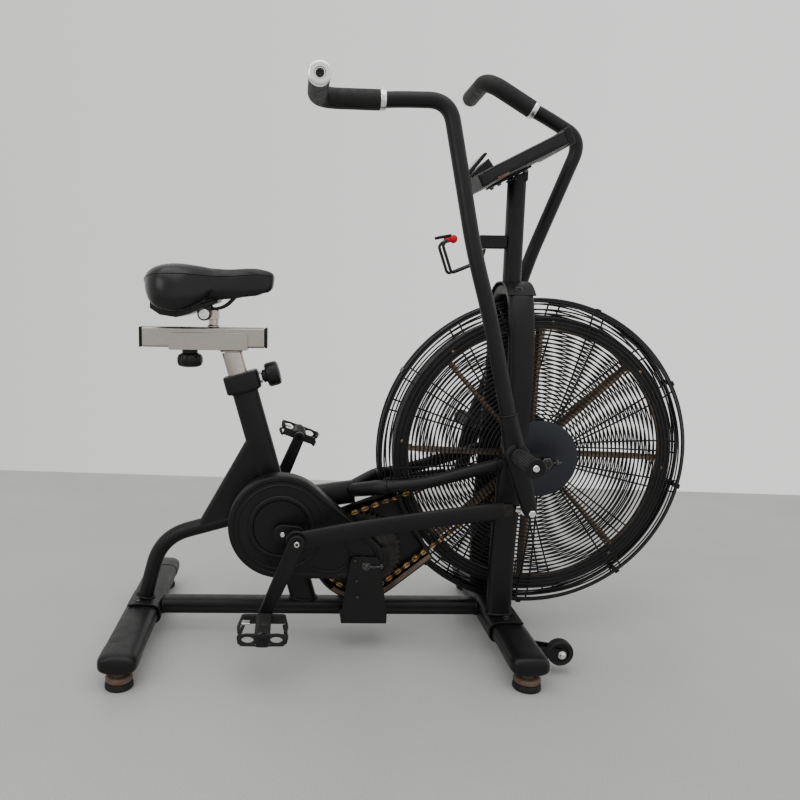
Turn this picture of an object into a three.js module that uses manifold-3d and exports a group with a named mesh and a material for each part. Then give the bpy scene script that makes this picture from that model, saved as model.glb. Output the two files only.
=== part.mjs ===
// Air bike (fan bike). Millimetres, +Z up, +X forward, -Y is the rider's right-hand side.
// Everything is placed from the crank axis (X = 0) and shifted at the end so that the
// bounding box is centred on the origin and the feet stand on Z = 0.
import * as THREE from 'three';
import { mergeVertices } from 'three/addons/utils/BufferGeometryUtils.js';
import Module from 'manifold-3d';

const wasm = await Module();
wasm.setup();
const { Manifold, Mesh: SolidMesh } = wasm;

// ---- driving dimensions ------------------------------------------------------------
const GAP = 0.3;                                     // clearance between touching pieces
const WALL = 2.5;                                    // sheet thickness of the covers
const CENTRE_X = 284.06;                             // crank axis to the middle of the bike
const BEAM = { z: 64.5, wide: 46, high: 38 };
const STABILISER = { rearX: -330, frontX: 511, half: 292, wide: 82, high: 42, z: 56 };
const END_BRACKET = { thick: 6, reach: 58, low: 22, rearHalf: 44, frontHalf: 130 };
const FOOT = { y: 262, r: 29, high: STABILISER.z - STABILISER.high / 2 };
const WHEEL = { x: 600, z: 47, y: 200, r: 28, half: 11 };
const SEAT_TUBE = { wide: 40, long: 60, length: 520 };
const SEAT_AXIS = new THREE.Vector3(-148, 0, 521).normalize();
const SEAT_FOOT = new THREE.Vector3(51, 0, 80);
const SHELL = { half: 45, r: 26 };                   // crank bearing shell
const REAR_TUBE = { r: 18 };
const STAY_R = 14;
const ARCH = { wide: 30, long: 55 };
const MAST = { x: 514, r: 20, low: 800 };
const POST = { wide: 28, long: 45.4, back: 5, low: 330 };
const SLIDER = { x0: -329, x1: -40, z0: 680, high: 46, wide: 44.8 };
const SLEEVE = { x0: -262, x1: -84, z0: 675, z1: 714, wide: 52.6 };
const TILT = { x: -181, z: 756, r: 4 };              // saddle tilt pin
const STEM = { x: -163, r: 11, half: 17 };
const RAIL_R = 3.5;
const CRANK = { x: 0, z: 277, throw: 31, radius: 166, lean: 0.2247 };
const JACK = { x: 180, z: 214, r: 9 };
const FAN = { x: 576.5, z: 443, rim: 321, lip: 292, blades: 8, bladeHalf: 20 };
const CAGE = { r: 359.5, plate: 87, spokes: 8, wire: 2.6, clips: [150, 67, 28, -9, -118] };
const DISH = [[83, 71.5], [190, 65], [285, 51], [342, 36], [CAGE.r, 12]];
const CHAIN = { half: 4, thick: 8 };                 // roller chain, half height and width
const CHAIN1 = { y: -78, crankR: 89, jackR: 32.5 };
const CHAIN2 = { y: -45, jackR: 93, fanR: 22.2 };
const TOOTH = 5;                                     // pitch circle to the sprocket disc
const COVER = { head: { x: -4, z: 285 }, tail: { x: 179, z: 214 }, r: 119, tailR: 50, near: -97, far: -62 };
const CASE = { jackR: 111, fanR: 40, near: -54, far: -31, endR: 330, chainRoom: 9 };
const PIVOT = { x: 487, z: 476 };                    // handle swing axis
const ROD_END = { x: 523, z: 353 };                  // right-hand rod end, rest position
const SWING = THREE.MathUtils.degToRad(29.4);        // right arm back, left arm forward
const Y_ROD = 158;
const Y_ARM = 186;
const Y_WEB = 111;
const HANDLE = { top: 1195, yTop: 130, endX: 61, endY: 288, gripX: 128, r: 16, gripR: 20.5 };
const PEDAL = { inner: 188, outer: 294, long: 108, high: 26, tilt: 0.34 };
const PEG = { inner: 203, outer: 317, r: 17, root: 106 };
const AXLE = { r: 8, half: 130, bracket: [108, 114], nut: [115, 125] };
const CONSOLE = { x: 502, z: 1092, long: 212, thick: 33, wide: 195, tilt: -27.3 };
const DISPLAY = {
  x: 416, z: 1089, half: 46, tilt: -50, wedge: [[404, 1057], [452, 1082], [438, 1101], [402, 1062]],
};
const HOLDER = { x: 433, z0: 911, z1: 940, half: 15, wire: 2.6, spread: 22 };
const SIDES = [['right', -1], ['left', 1]];

const MAT = {
  coat: { color: 0x1d1d1f, roughness: 0.55 },
  rubber: { color: 0x161616, roughness: 0.85 },
  plastic: { color: 0x222223, roughness: 0.5 },
  steel: { color: 0xb9b4aa, roughness: 0.35, metalness: 0.9 },
  bright: { color: 0xd8d8d8, roughness: 0.25, metalness: 1 },
  blade: { color: 0x6b5138, roughness: 0.6 },
  chain: { color: 0xb08a3c, roughness: 0.4, metalness: 0.8 },
  vinyl: { color: 0x191919, roughness: 0.45 },
  red: { color: 0xc01822, roughness: 0.4 },
};
for (const key of Object.keys(MAT)) {
  MAT[key] = new THREE.MeshStandardMaterial({ name: key, ...MAT[key] });
}

// ---- helpers -----------------------------------------------------------------------
const group = new THREE.Group();
group.name = 'air_bike';
const v3 = (x, y, z) => new THREE.Vector3(x, y, z);

/** Turns a closed three.js geometry into a solid that can be joined and cut. */
function solid(geometry) {
  const bare = new THREE.BufferGeometry();
  bare.setAttribute('position', geometry.getAttribute('position').clone());
  if (geometry.index) bare.setIndex(geometry.index.clone());
  const g = mergeVertices(bare, 1e-3);
  const pos = g.getAttribute('position').array;
  const idx = g.index.array;
  const tri = [];
  for (let i = 0; i < idx.length; i += 3) {
    const [a, b, c] = [idx[i], idx[i + 1], idx[i + 2]];
    if (a !== b && b !== c && a !== c) tri.push(a, b, c);
  }
  const mesh = (t) => new SolidMesh({
    numProp: 3,
    vertProperties: new Float32Array(pos),
    triVerts: new Uint32Array(t),
  });
  const out = new Manifold(mesh(tri));
  if (out.volume() > 0) return out;
  for (let i = 0; i < tri.length; i += 3) [tri[i], tri[i + 1]] = [tri[i + 1], tri[i]];
  return new Manifold(mesh(tri));
}

const join = (...parts) => Manifold.union(parts.flat());
const cut = (body, ...tools) => Manifold.difference([body, ...tools.flat()]);

/** Keeps the biggest body of a cut piece. */
function biggest(body) {
  const bodies = body.decompose().filter((b) => b.numTri() > 0);
  bodies.sort((a, b) => b.volume() - a.volume());
  return bodies[0];
}

function add(name, material, body) {
  const m = biggest(body).getMesh();
  const g = new THREE.BufferGeometry();
  g.setAttribute('position', new THREE.BufferAttribute(new Float32Array(m.vertProperties), 3));
  g.setIndex(new THREE.BufferAttribute(new Uint32Array(m.triVerts), 1));
  g.translate(-CENTRE_X, 0, 0);
  const flat = g.toNonIndexed();
  flat.computeVertexNormals();
  const mesh = new THREE.Mesh(flat, MAT[material]);
  mesh.name = name;
  group.add(mesh);
}

const box = (x0, x1, y0, y1, z0, z1) => {
  const g = new THREE.BoxGeometry(x1 - x0, y1 - y0, z1 - z0);
  g.translate((x0 + x1) / 2, (y0 + y1) / 2, (z0 + z1) / 2);
  return solid(g);
};

/** Cylinder along Y between two values of y (either order). */
function pin(x, z, y0, y1, r, seg = 16) {
  const g = new THREE.CylinderGeometry(r, r, Math.abs(y1 - y0), seg);
  g.translate(x, (y0 + y1) / 2, z);
  return solid(g);
}

/** Cylinder along any line. */
function rod(a, b, r, seg = 16, r2 = r) {
  const g = new THREE.CylinderGeometry(r2, r, a.distanceTo(b), seg);
  const turn = new THREE.Quaternion().setFromUnitVectors(v3(0, 1, 0), b.clone().sub(a).normalize());
  g.applyQuaternion(turn);
  g.translate((a.x + b.x) / 2, (a.y + b.y) / 2, (a.z + b.z) / 2);
  return solid(g);
}

function ball(x, y, z, r, seg = 16) {
  const g = new THREE.SphereGeometry(r, seg, seg / 2);
  g.translate(x, y, z);
  return solid(g);
}

/** Flat plate: an outline of [x, z] points given a thickness from y0 to y1. */
function plate(outline, y0, y1) {
  const shape = new THREE.Shape(outline.map(([x, z]) => new THREE.Vector2(x, z)));
  const g = new THREE.ExtrudeGeometry(shape, { depth: Math.abs(y1 - y0), bevelEnabled: false });
  g.rotateX(Math.PI / 2);
  g.translate(0, Math.max(y0, y1), 0);
  return solid(g);
}

/** Outline round two circles and their outer tangents. */
function belt(a, ra, b, rb, n = 28) {
  const way = Math.atan2(b.z - a.z, b.x - a.x);
  const open = Math.acos((ra - rb) / Math.hypot(b.x - a.x, b.z - a.z));
  const out = [];
  const arc = (c, r, from, to, steps) => {
    for (let i = 0; i <= steps; i += 1) {
      const t = from + ((to - from) * i) / steps;
      out.push([c.x + r * Math.cos(t), c.z + r * Math.sin(t)]);
    }
  };
  arc(a, ra, way + open, way + 2 * Math.PI - open, Math.round(n * 0.6));
  arc(b, rb, way - open, way + open, Math.round(n * 0.4));
  return out;
}

/** Body of revolution about a Y axis (or Z axis) from a closed [r, h] profile. */
function turned(profile, x, z, seg = 24, axis = 'y', y = 0) {
  const pts = profile.map(([r, h]) => new THREE.Vector2(r, h));
  const g = new THREE.LatheGeometry([...pts, pts[0].clone()], seg);
  if (axis === 'z') g.rotateX(Math.PI / 2);
  g.translate(x, y, z);
  return solid(g);
}

/** Oval or rounded-square section, n points. power 2 is an ellipse, 4 nearly square. */
function section(wide, high, n = 12, power = 2) {
  const out = [];
  for (let i = 0; i < n; i += 1) {
    const t = ((i + 0.5) * 2 * Math.PI) / n;
    const [c, s] = [Math.cos(t), Math.sin(t)];
    out.push([
      (Math.sign(c) * Math.abs(c) ** (2 / power) * wide) / 2,
      (Math.sign(s) * Math.abs(s) ** (2 / power) * high) / 2,
    ]);
  }
  return out;
}

/** Rounds the corners of a polyline. */
function bend(points, r, steps = 4) {
  const out = [points[0].clone()];
  for (let i = 1; i < points.length - 1; i += 1) {
    const p = points[i];
    const back = points[i - 1].clone().sub(p);
    const on = points[i + 1].clone().sub(p);
    const d = Math.min(r, back.length() * 0.45, on.length() * 0.45);
    const a = p.clone().addScaledVector(back.normalize(), d);
    const b = p.clone().addScaledVector(on.normalize(), d);
    for (let k = 0; k <= steps; k += 1) {
      const t = k / steps;
      const q = a.clone().multiplyScalar((1 - t) ** 2);
      out.push(q.addScaledVector(p, 2 * t * (1 - t)).addScaledVector(b, t * t));
    }
  }
  out.push(points[points.length - 1].clone());
  return out;
}

/** Sweeps a convex section along points. `side` is the direction of the section's width. */
function sweep(shape, points, side = v3(0, 1, 0), scale = () => 1) {
  const pos = [];
  const n = shape.length;
  let across = side.clone();
  points.forEach((p, i) => {
    const before = points[Math.max(i - 1, 0)];
    const after = points[Math.min(i + 1, points.length - 1)];
    const along = after.clone().sub(before).normalize();
    across.addScaledVector(along, -across.dot(along)).normalize();
    const up = along.clone().cross(across);
    const s = scale(i, points.length);
    const [sw, sh] = Array.isArray(s) ? s : [s, s];
    for (const [w, h] of shape) {
      const q = p.clone().addScaledVector(across, w * sw).addScaledVector(up, h * sh);
      pos.push(q.x, q.y, q.z);
    }
  });
  const tri = [];
  const rings = points.length;
  for (let i = 0; i + 1 < rings; i += 1) {
    for (let k = 0; k < n; k += 1) {
      const [a, b] = [i * n + k, i * n + ((k + 1) % n)];
      tri.push(a, b, b + n, a, b + n, a + n);
    }
  }
  for (let k = 1; k + 1 < n; k += 1) {
    tri.push(0, k + 1, k);
    const last = (rings - 1) * n;
    tri.push(last, last + k, last + k + 1);
  }
  const g = new THREE.BufferGeometry();
  g.setAttribute('position', new THREE.BufferAttribute(new Float32Array(pos), 3));
  g.setIndex(tri);
  return solid(g);
}

const mirrorY = (body) => body.mirror([0, 1, 0]);

/** Turns a body about a Y axis through (x, z); a positive angle tips the top forward. */
function swing(body, angle, x, z) {
  return body.translate([-x, 0, -z]).rotate([0, THREE.MathUtils.radToDeg(angle), 0])
    .translate([x, 0, z]);
}
// ---- base --------------------------------------------------------------------------
function stabiliser(x, g = 0) {
  const { half, wide, high, z } = STABILISER;
  const ends = [[half, 0.62], [half - 5, 0.85], [half - 14, 0.97], [half - 24, 1]];
  const stations = [...ends.map(([y, s]) => [-y, s]), ...ends.slice().reverse()];
  const path = stations.map(([y]) => v3(x, y, z));
  return sweep(section(wide + 2 * g, high + 2 * g, 16, 3), path, v3(1, 0, 0), (i) => stations[i][1]);
}

const beamRear = STABILISER.rearX + STABILISER.wide / 2 + GAP;
const beamFront = STABILISER.frontX - STABILISER.wide / 2 - GAP;
const plateLow = STABILISER.z + STABILISER.high / 2 + GAP;
const plateTop = plateLow + END_BRACKET.thick;

/** Angle plate: one leg on top of a stabiliser, one across the end of the main beam. */
function endBracket(face, way, half) {
  const inner = face + END_BRACKET.thick * way;
  const outer = face - END_BRACKET.reach * way;
  const outline = [
    [face, END_BRACKET.low], [inner, END_BRACKET.low], [inner, plateTop],
    [outer, plateTop], [outer, plateLow], [face, plateLow],
  ];
  return plate(outline, -half, half);
}

function mainBeam(g = 0) {
  const ends = [beamRear + END_BRACKET.thick + GAP, beamFront - END_BRACKET.thick - GAP];
  return sweep(section(BEAM.wide + 2 * g, BEAM.high + 2 * g, 16, 3.2), ends.map((x) => v3(x, 0, BEAM.z)));
}

const footProfile = [
  [0, 0], [FOOT.r - 3, 0], [FOOT.r, 4], [FOOT.r - 1, 14], [22, 16], [22, 29],
  [8, 29], [8, FOOT.high - GAP], [0, FOOT.high - GAP],
];
const rearBracket = endBracket(beamRear, 1, END_BRACKET.rearHalf);
add('rear_stabiliser', 'coat', stabiliser(STABILISER.rearX));
add('rear_beam_bracket', 'coat', rearBracket);
add('front_beam_bracket', 'coat', endBracket(beamFront, -1, END_BRACKET.frontHalf));
add('main_beam', 'coat', mainBeam());
for (const [end, x] of [['rear', STABILISER.rearX], ['front', STABILISER.frontX]]) {
  for (const [side, s] of SIDES) {
    add(`${end}_${side}_foot`, 'rubber', turned(footProfile, x, 0, 14, 'z', s * FOOT.y));
  }
}

const forkRoot = STABILISER.frontX + STABILISER.wide / 2 - 4;
const forkOutline = [
  [forkRoot, 44], [590, 34], [WHEEL.x + 12, 38], [WHEEL.x + 12, 56], [590, 60], [forkRoot, 66],
];
const tyreProfile = [
  [4.4, -WHEEL.half], [WHEEL.r - 3, -WHEEL.half], [WHEEL.r, -8],
  [WHEEL.r, 8], [WHEEL.r - 3, WHEEL.half], [4.4, WHEEL.half],
];
const wheelForks = [];
for (const [side, s] of SIDES) {
  const middle = s * WHEEL.y;
  for (const y of [middle - 14, middle + 14]) {
    wheelForks.push(plate(forkOutline, y - 1.5, y + 1.5));
  }
  wheelForks.push(pin(WHEEL.x, WHEEL.z, middle - 20, middle + 20, 4, 12));
  add(`${side}_transport_wheel`, 'rubber', turned(tyreProfile, WHEEL.x, WHEEL.z, 18, 'y', middle));
}
add('front_stabiliser', 'coat', join(stabiliser(STABILISER.frontX), wheelForks));

// ---- frame -------------------------------------------------------------------------
const along = (t) => SEAT_FOOT.clone().addScaledVector(SEAT_AXIS, t);
const across = v3(SEAT_AXIS.z, 0, -SEAT_AXIS.x);
const postLine = (t) => along(t).addScaledVector(across, -POST.back);
const spindleR = 12;

function seatTube(g = 0) {
  const shape = section(SEAT_TUBE.wide + 2 * g, SEAT_TUBE.long + 2 * g, 14, 2.6);
  const shell = pin(CRANK.x, CRANK.z, -SHELL.half - g, SHELL.half + g, SHELL.r + g);
  return join(sweep(shape, [along(-6), along(SEAT_TUBE.length + 4)]), shell);
}
const collar = sweep(section(56, 82, 14, 3), [along(522), along(562)]);
const postBore = sweep(section(POST.wide + 0.8, POST.long + 0.8, 12, 2.6), [postLine(300), postLine(600)]);
const spindleBore = pin(CRANK.x, CRANK.z, -60, 60, spindleR + 0.4);
add('seat_tube', 'coat', cut(join(seatTube(), collar), mainBeam(GAP), postBore, spindleBore));

const rearPath = bend([
  v3(-327, 0, plateTop + GAP + 4), v3(-287.6, 0, 230.6), v3(-40, 0, 300.7),
], 105, 5);
const rearTube = (g = 0) => sweep(section(2 * (REAR_TUBE.r + g), 2 * (REAR_TUBE.r + g), 12), rearPath);
add('rear_tube', 'coat', cut(rearTube(), seatTube(GAP), rearBracket));
const brace = sweep(section(34, 84, 16, 3), [v3(-26, 0, 491), v3(-175, 0, 225)]);
add('brace_tube', 'coat', cut(brace, seatTube(GAP), rearTube(GAP)));

const upperTube = (g = 0) => sweep(section(38 + 2 * g, 54 + 2 * g, 12, 2.6),
  [v3(-20, 0, 318), v3(165 + g, 0, 345)]);
add('upper_tube', 'coat', cut(upperTube(), seatTube(GAP)));

const archPath = bend([
  v3(498, -84, STABILISER.z), v3(497, -89, 243), v3(517, -94, 609), v3(516, -84, 752), v3(518, -52, 821),
  v3(518, 52, 821), v3(516, 84, 752), v3(517, 94, 609), v3(497, 89, 243), v3(498, 84, STABILISER.z),
], 70, 3);
const arch = (g = 0) => sweep(
  section(ARCH.wide + 2 * g, ARCH.long + 2 * g, 12, 3), archPath, v3(0, 1, 0.01));
const belowArch = box(440, 600, -200, 200, 0, plateTop + GAP);
add('fan_arch', 'coat', cut(arch(), belowArch));
for (const [side, s] of SIDES) {
  const path = bend([
    v3(158, s * 12, 351), v3(225, s * 62, 371), v3(314, s * 80, 385), v3(390, s * 86, 408),
    v3(492, s * 92, 437),
  ], 40, 2);
  const otherHalf = box(0, 600, -100 * (1 + s) / 2 - GAP / 2, 100 * (1 - s) / 2 + GAP / 2, 200, 600);
  add(`${side}_fan_stay`, 'coat', cut(
    sweep(section(2 * STAY_R, 2 * STAY_R, 10), path), upperTube(GAP), arch(GAP), otherHalf));
}

const mastPlate = [[455, 1043.5], [533, 1083.7], [533, 1088.7], [455, 1048.5]];
const aboveMast = plate([[400, 1015.1], [600, 1118.2], [600, 1250], [400, 1250]], -60, 60);
const mastTube = cut(
  sweep(section(2 * MAST.r, 2 * MAST.r, 12), [v3(MAST.x, 0, MAST.low), v3(MAST.x, 0, 1120)]), aboveMast);
const holderArm = box(HOLDER.x, 496, -HOLDER.half, HOLDER.half, HOLDER.z0, HOLDER.z1);
add('mast', 'coat', cut(join(mastTube, holderArm, plate(mastPlate, -40, 40)), arch(GAP)));

// ---- seat --------------------------------------------------------------------------
const postShape = section(POST.wide, POST.long, 12, 2.6);
const abovePost = box(-400, 100, -60, 60, SLEEVE.z0 - GAP, 900);
add('seat_post', 'steel', cut(sweep(postShape, [postLine(POST.low), postLine(700)]), abovePost));
const sleeve = box(SLEEVE.x0, SLEEVE.x1, -SLEEVE.wide / 2, SLEEVE.wide / 2, SLEEVE.z0, SLEEVE.z1);
const channel = SLIDER.wide / 2 + 0.4;
add('seat_carriage', 'steel', cut(sleeve, box(-400, 0, -channel, channel, SLIDER.z0 - GAP, 800)));

const sliderMiddle = SLIDER.z0 + SLIDER.high / 2;
const sliderStations = [
  [SLIDER.x0, 0.93], [SLIDER.x0 + 4, 1], [SLIDER.x1 - 4, 1], [SLIDER.x1, 0.93],
];
add('seat_slider', 'steel', sweep(
  section(SLIDER.wide, SLIDER.high, 12, 9), sliderStations.map(([x]) => v3(x, 0, sliderMiddle)),
  v3(0, 1, 0), (i) => sliderStations[i][1]));

const sliderTop = SLIDER.z0 + SLIDER.high + GAP;
const stemHead = box(-193, -150, -STEM.half, STEM.half, 743, 766);
add('saddle_stem', 'steel', cut(
  join(rod(v3(STEM.x, 0, sliderTop), v3(STEM.x, 0, 745), STEM.r, 20), stemHead),
  pin(TILT.x, TILT.z, -30, 30, TILT.r + 0.4)));

const railSide = (s) => [
  v3(-268, s * 30, 776), v3(-225, s * 25, 766), v3(-140, s * 24, 768), v3(-108, s * 14, 800),
];
const railPath = bend([...railSide(1), ...railSide(-1).reverse()], 22, 2);
const rails = (r) => sweep(section(2 * r, 2 * r, 6), railPath, v3(0, 0, 1));
const clamps = SIDES.map(([, s]) => {
  const [y0, y1] = [s * (STEM.half + GAP), s * 33].sort((a, b) => a - b);
  return box(TILT.x - 15, TILT.x + 15, y0, y1, 741, 774);
});
add('saddle_rails', 'steel', join(rails(RAIL_R), clamps, pin(TILT.x, TILT.z, -38, 38, TILT.r)));

/** Saddle: superellipse rings along X. [x, half width, top, bottom] */
const SADDLE = [
  [-315, 34, 829, 806], [-308, 66, 844, 790], [-294, 98, 855, 772], [-270, 117, 863, 758],
  [-235, 118, 864, 753], [-205, 104, 861, 762], [-178, 82, 857, 775], [-149, 60, 852.5, 786],
  [-117, 45, 852.5, 791], [-84, 38, 856, 796], [-56, 34, 855, 802], [-36, 26, 848, 809],
  [-25, 13, 838, 818],
];
const saddle = sweep(
  section(2, 2, 16, 2.4), SADDLE.map(([x, , top, low]) => v3(x, 0, (top + low) / 2)), v3(0, 1, 0),
  (i) => [SADDLE[i][1], (SADDLE[i][2] - SADDLE[i][3]) / 2]);
const saddleHollow = [box(-292, -60, -56, 56, 700, 778), box(-150, -50, -22, 22, 700, 806)];
add('saddle', 'vinyl', cut(saddle, rails(RAIL_R + GAP), saddleHollow));

const knobLine = (d) => along(542).addScaledVector(across, d);
add('post_pin_knob', 'plastic', join(
  rod(knobLine(41 + GAP), knobLine(50), 9, 12),
  rod(knobLine(48), knobLine(60), 15, 12),
  rod(knobLine(57), knobLine(89), 28, 18)));
add('slider_knob', 'plastic', join(
  rod(v3(-217, 0, 664), v3(-217, 0, SLEEVE.z0 - GAP), 18),
  turned([[0, 635], [26, 635], [30, 641], [30, 661], [26, 667], [0, 667]], -217, 0, 20, 'z')));

// ---- handles and pegs --------------------------------------------------------------
const armPath = bend([
  v3(PIVOT.x, -Y_ARM, PIVOT.z + 18), v3(466, -Y_ARM, 560), v3(420, -178, 763), v3(384, -168, 892),
  v3(330, -HANDLE.yTop, HANDLE.top), v3(230, -HANDLE.yTop, HANDLE.top), v3(150, -HANDLE.yTop, HANDLE.top - 3),
], 78, 3);
const gripPath = bend([
  v3(HANDLE.endX + HANDLE.gripX, -HANDLE.yTop, HANDLE.top - 2),
  v3(HANDLE.endX, -HANDLE.yTop, HANDLE.top),
  v3(HANDLE.endX, -HANDLE.endY + 4, HANDLE.top),
], 46, 4);
const gripFace = HANDLE.endX + HANDLE.gripX - 1;
const beforeGrip = box(gripFace, 400, -200, -60, 1100, 1300);
const behindGrip = box(0, gripFace + GAP, -400, -60, 1100, 1300);
const lowerArm = join(
  plate(belt(PIVOT, 26, ROD_END, 17, 18), -Y_ARM - 14, -Y_ARM + 14),
  pin(ROD_END.x, ROD_END.z, -Y_ARM - 19, -Y_ROD - 9, 7));
const legTop = sweep(
  section(28, 44, 10, 2.4), [v3(PIVOT.x, -Y_ARM, PIVOT.z), v3(466, -Y_ARM, 558)], v3(0, 1, 0),
  (i) => [1, 1 - 0.18 * i]);
const armTube = sweep(section(2 * HANDLE.r, 2 * HANDLE.r, 10), armPath);
const bareArm = cut(
  join(lowerArm, legTop, armTube), pin(PIVOT.x, PIVOT.z, -260, -100, 12.5), behindGrip);
const endCap = turned(
  [[0, -6], [15, -6], [22, -2], [22, 5], [0, 5]].map(([r, y]) => [r, y - HANDLE.endY]),
  HANDLE.endX, HANDLE.top, 20);
const gripTube = sweep(section(2 * HANDLE.gripR, 2 * HANDLE.gripR, 12), gripPath);
const grip = join(cut(gripTube, beforeGrip), endCap);

/** Right-hand connecting rod between the crank pin and the rod end of the arm. */
function connectingRod() {
  const start = v3(CRANK.throw, -Y_ROD, CRANK.z);
  const end = v3(ROD_END.x, -Y_ROD, ROD_END.z);
  const way = end.clone().sub(start).normalize();
  const at = (d) => start.clone().addScaledVector(way, d);
  const length = start.distanceTo(end);
  const bar = sweep(section(16, 36, 12, 2.6), [at(8), at(length - 48)]);
  const block = sweep(section(16, 27, 12, 6), [at(length - 50), at(length - 24)]);
  const shank = rod(at(length - 25), at(length - 10), 8);
  const bigEye = pin(start.x, start.z, -Y_ROD - 8, -Y_ROD + 8, 23);
  const smallEye = pin(end.x, end.z, -Y_ROD - 6, -Y_ROD + 6, 16);
  return cut(
    join(bar, block, shank, bigEye, smallEye),
    pin(start.x, start.z, -Y_ROD - 20, -Y_ROD + 20, 9.5),
    pin(end.x, end.z, -Y_ROD - 20, -Y_ROD + 20, 7.5));
}

/** The left rod: mirrored, half a crank turn on, its far end on the swung-forward arm. */
function leftRod() {
  const lever = Math.hypot(ROD_END.x - PIVOT.x, ROD_END.z - PIVOT.z);
  const rest = Math.atan2(ROD_END.x - PIVOT.x, PIVOT.z - ROD_END.z) - SWING;
  const farX = PIVOT.x + lever * Math.sin(rest);
  const farZ = PIVOT.z - lever * Math.cos(rest);
  const rightTilt = Math.atan2(ROD_END.z - CRANK.z, ROD_END.x - CRANK.throw);
  const leftTilt = Math.atan2(farZ - CRANK.z, farX + CRANK.throw);
  return swing(mirrorY(connectingRod()), rightTilt - leftTilt, CRANK.throw, CRANK.z)
    .translate([-2 * CRANK.throw, 0, 0]);
}

const pegProfile = [
  [0, PEG.inner], [PEG.r, PEG.inner], [PEG.r, PEG.outer - 9], [PEG.r + 3, PEG.outer - 8],
  [PEG.r + 3, PEG.outer - 1], [PEG.r, PEG.outer], [0, PEG.outer],
];
for (const [side, s] of SIDES) {
  const place = (b) => (s < 0 ? b : swing(mirrorY(b), SWING, PIVOT.x, PIVOT.z));
  add(`${side}_handle_arm`, 'coat', place(bareArm));
  add(`${side}_grip`, 'rubber', place(grip));
  const pegShaft = pin(PIVOT.x, PIVOT.z, s * PEG.root, s * (PEG.inner + 2), 12);
  const pegBody = turned(pegProfile.map(([r, y]) => [r, s * y]), PIVOT.x, PIVOT.z, 24);
  add(`${side}_foot_peg`, 'rubber', cut(join(pegShaft, pegBody), arch(GAP)));
}
add('right_connecting_rod', 'coat', connectingRod());
add('left_connecting_rod', 'coat', leftRod());

// ---- cranks and pedals -------------------------------------------------------------
add('crank_spindle', 'steel', join(
  pin(CRANK.x, CRANK.z, -Y_WEB, Y_WEB, spindleR),
  pin(CRANK.x, CRANK.z, CHAIN1.y - 2, CHAIN1.y + 2, CHAIN1.crankR - TOOTH, 24),
  pin(CRANK.x, CRANK.z, CHAIN1.y - 8, CHAIN1.y + 8, 16)));

/** Pedal cage with four windows, its spindle through the middle, in the row's own place. */
function pedalCage(s, tip) {
  const y = (v) => s * v;
  const [hx, hz] = [PEDAL.long / 2, PEDAL.high / 2];
  const rings = [
    [PEDAL.inner, 0.7, 0.9], [PEDAL.inner + 4, 0.92, 1], [PEDAL.outer - 6, 1, 1], [PEDAL.outer, 0.92, 0.9],
  ];
  const shell = sweep(
    section(PEDAL.long, PEDAL.high, 12, 5), rings.map(([v]) => v3(tip.x, y(v), tip.z)), v3(1, 0, 0),
    (i) => rings[i].slice(1));
  const windows = [];
  for (const x0 of [tip.x - hx + 11, tip.x + 13]) {
    for (const inner of [PEDAL.inner + 12, PEDAL.inner + 57]) {
      const [y0, y1] = [y(inner), y(inner + 37)].sort((a, b) => a - b);
      windows.push(box(x0, x0 + hx - 24, y0, y1, tip.z - hz - 5, tip.z + hz + 5));
    }
  }
  return cut(join(pin(tip.x, tip.z, y(171), y(PEDAL.outer - 4), 7), shell), windows);
}

for (const [side, s] of SIDES) {
  const y = (v) => s * v;
  const crankPin = { x: -s * CRANK.throw, z: CRANK.z };
  const tip = {
    x: CRANK.x + s * CRANK.radius * Math.sin(CRANK.lean),
    z: CRANK.z + s * CRANK.radius * Math.cos(CRANK.lean),
  };
  const web = join(
    plate(belt(CRANK, 21, crankPin, 18, 18), y(104), y(118)),
    pin(crankPin.x, crankPin.z, y(117), y(149.5), 13),
    pin(crankPin.x, crankPin.z, y(110), y(187), 9));
  add(`${side}_crank_web`, 'coat', cut(web, pin(CRANK.x, CRANK.z, y(90), y(Y_WEB + GAP), spindleR + GAP)));
  add(`${side}_pedal_arm`, 'coat', cut(
    plate(belt(crankPin, 18, tip, 14, 18), y(170), y(184)),
    pin(crankPin.x, crankPin.z, y(160), y(195), 9 + GAP),
    pin(tip.x, tip.z, y(160), y(195), 7 + GAP)));
  const pedal = pedalCage(s, tip);
  add(`${side}_pedal`, 'plastic', s > 0 ? swing(pedal, PEDAL.tilt, tip.x, tip.z) : pedal);
}

// ---- drive -------------------------------------------------------------------------
const beamSide = BEAM.wide / 2 + GAP;
const jackBore = pin(JACK.x, JACK.z, -120, 60, JACK.r + 0.4);
const rightPlate = [
  [134, 64], [238, 64], [238, 86], [219, 214], [214, 220], [158, 221], [153, 214], [134, 86],
];
add('right_jackshaft_bracket', 'coat', join(
  plate(rightPlate, -104, -99), box(134, 238, -104, -beamSide, 64, 69)));
const leftPlate = [[134, 46], [238, 46], [238, 86], [208, 234], [152, 234], [134, 86]];
add('left_jackshaft_bracket', 'coat', cut(plate(leftPlate, beamSide, beamSide + 5), jackBore));
add('jackshaft', 'steel', join(
  pin(JACK.x, JACK.z, -98.5, 32, JACK.r),
  pin(JACK.x, JACK.z, CHAIN1.y - 2, CHAIN1.y + 2, CHAIN1.jackR - TOOTH),
  pin(JACK.x, JACK.z, CHAIN2.y - 2, CHAIN2.y + 2, CHAIN2.jackR - TOOTH, 24),
  pin(JACK.x, JACK.z, CHAIN2.y - 5, CHAIN2.y + 5, 69, 24)));

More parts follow.
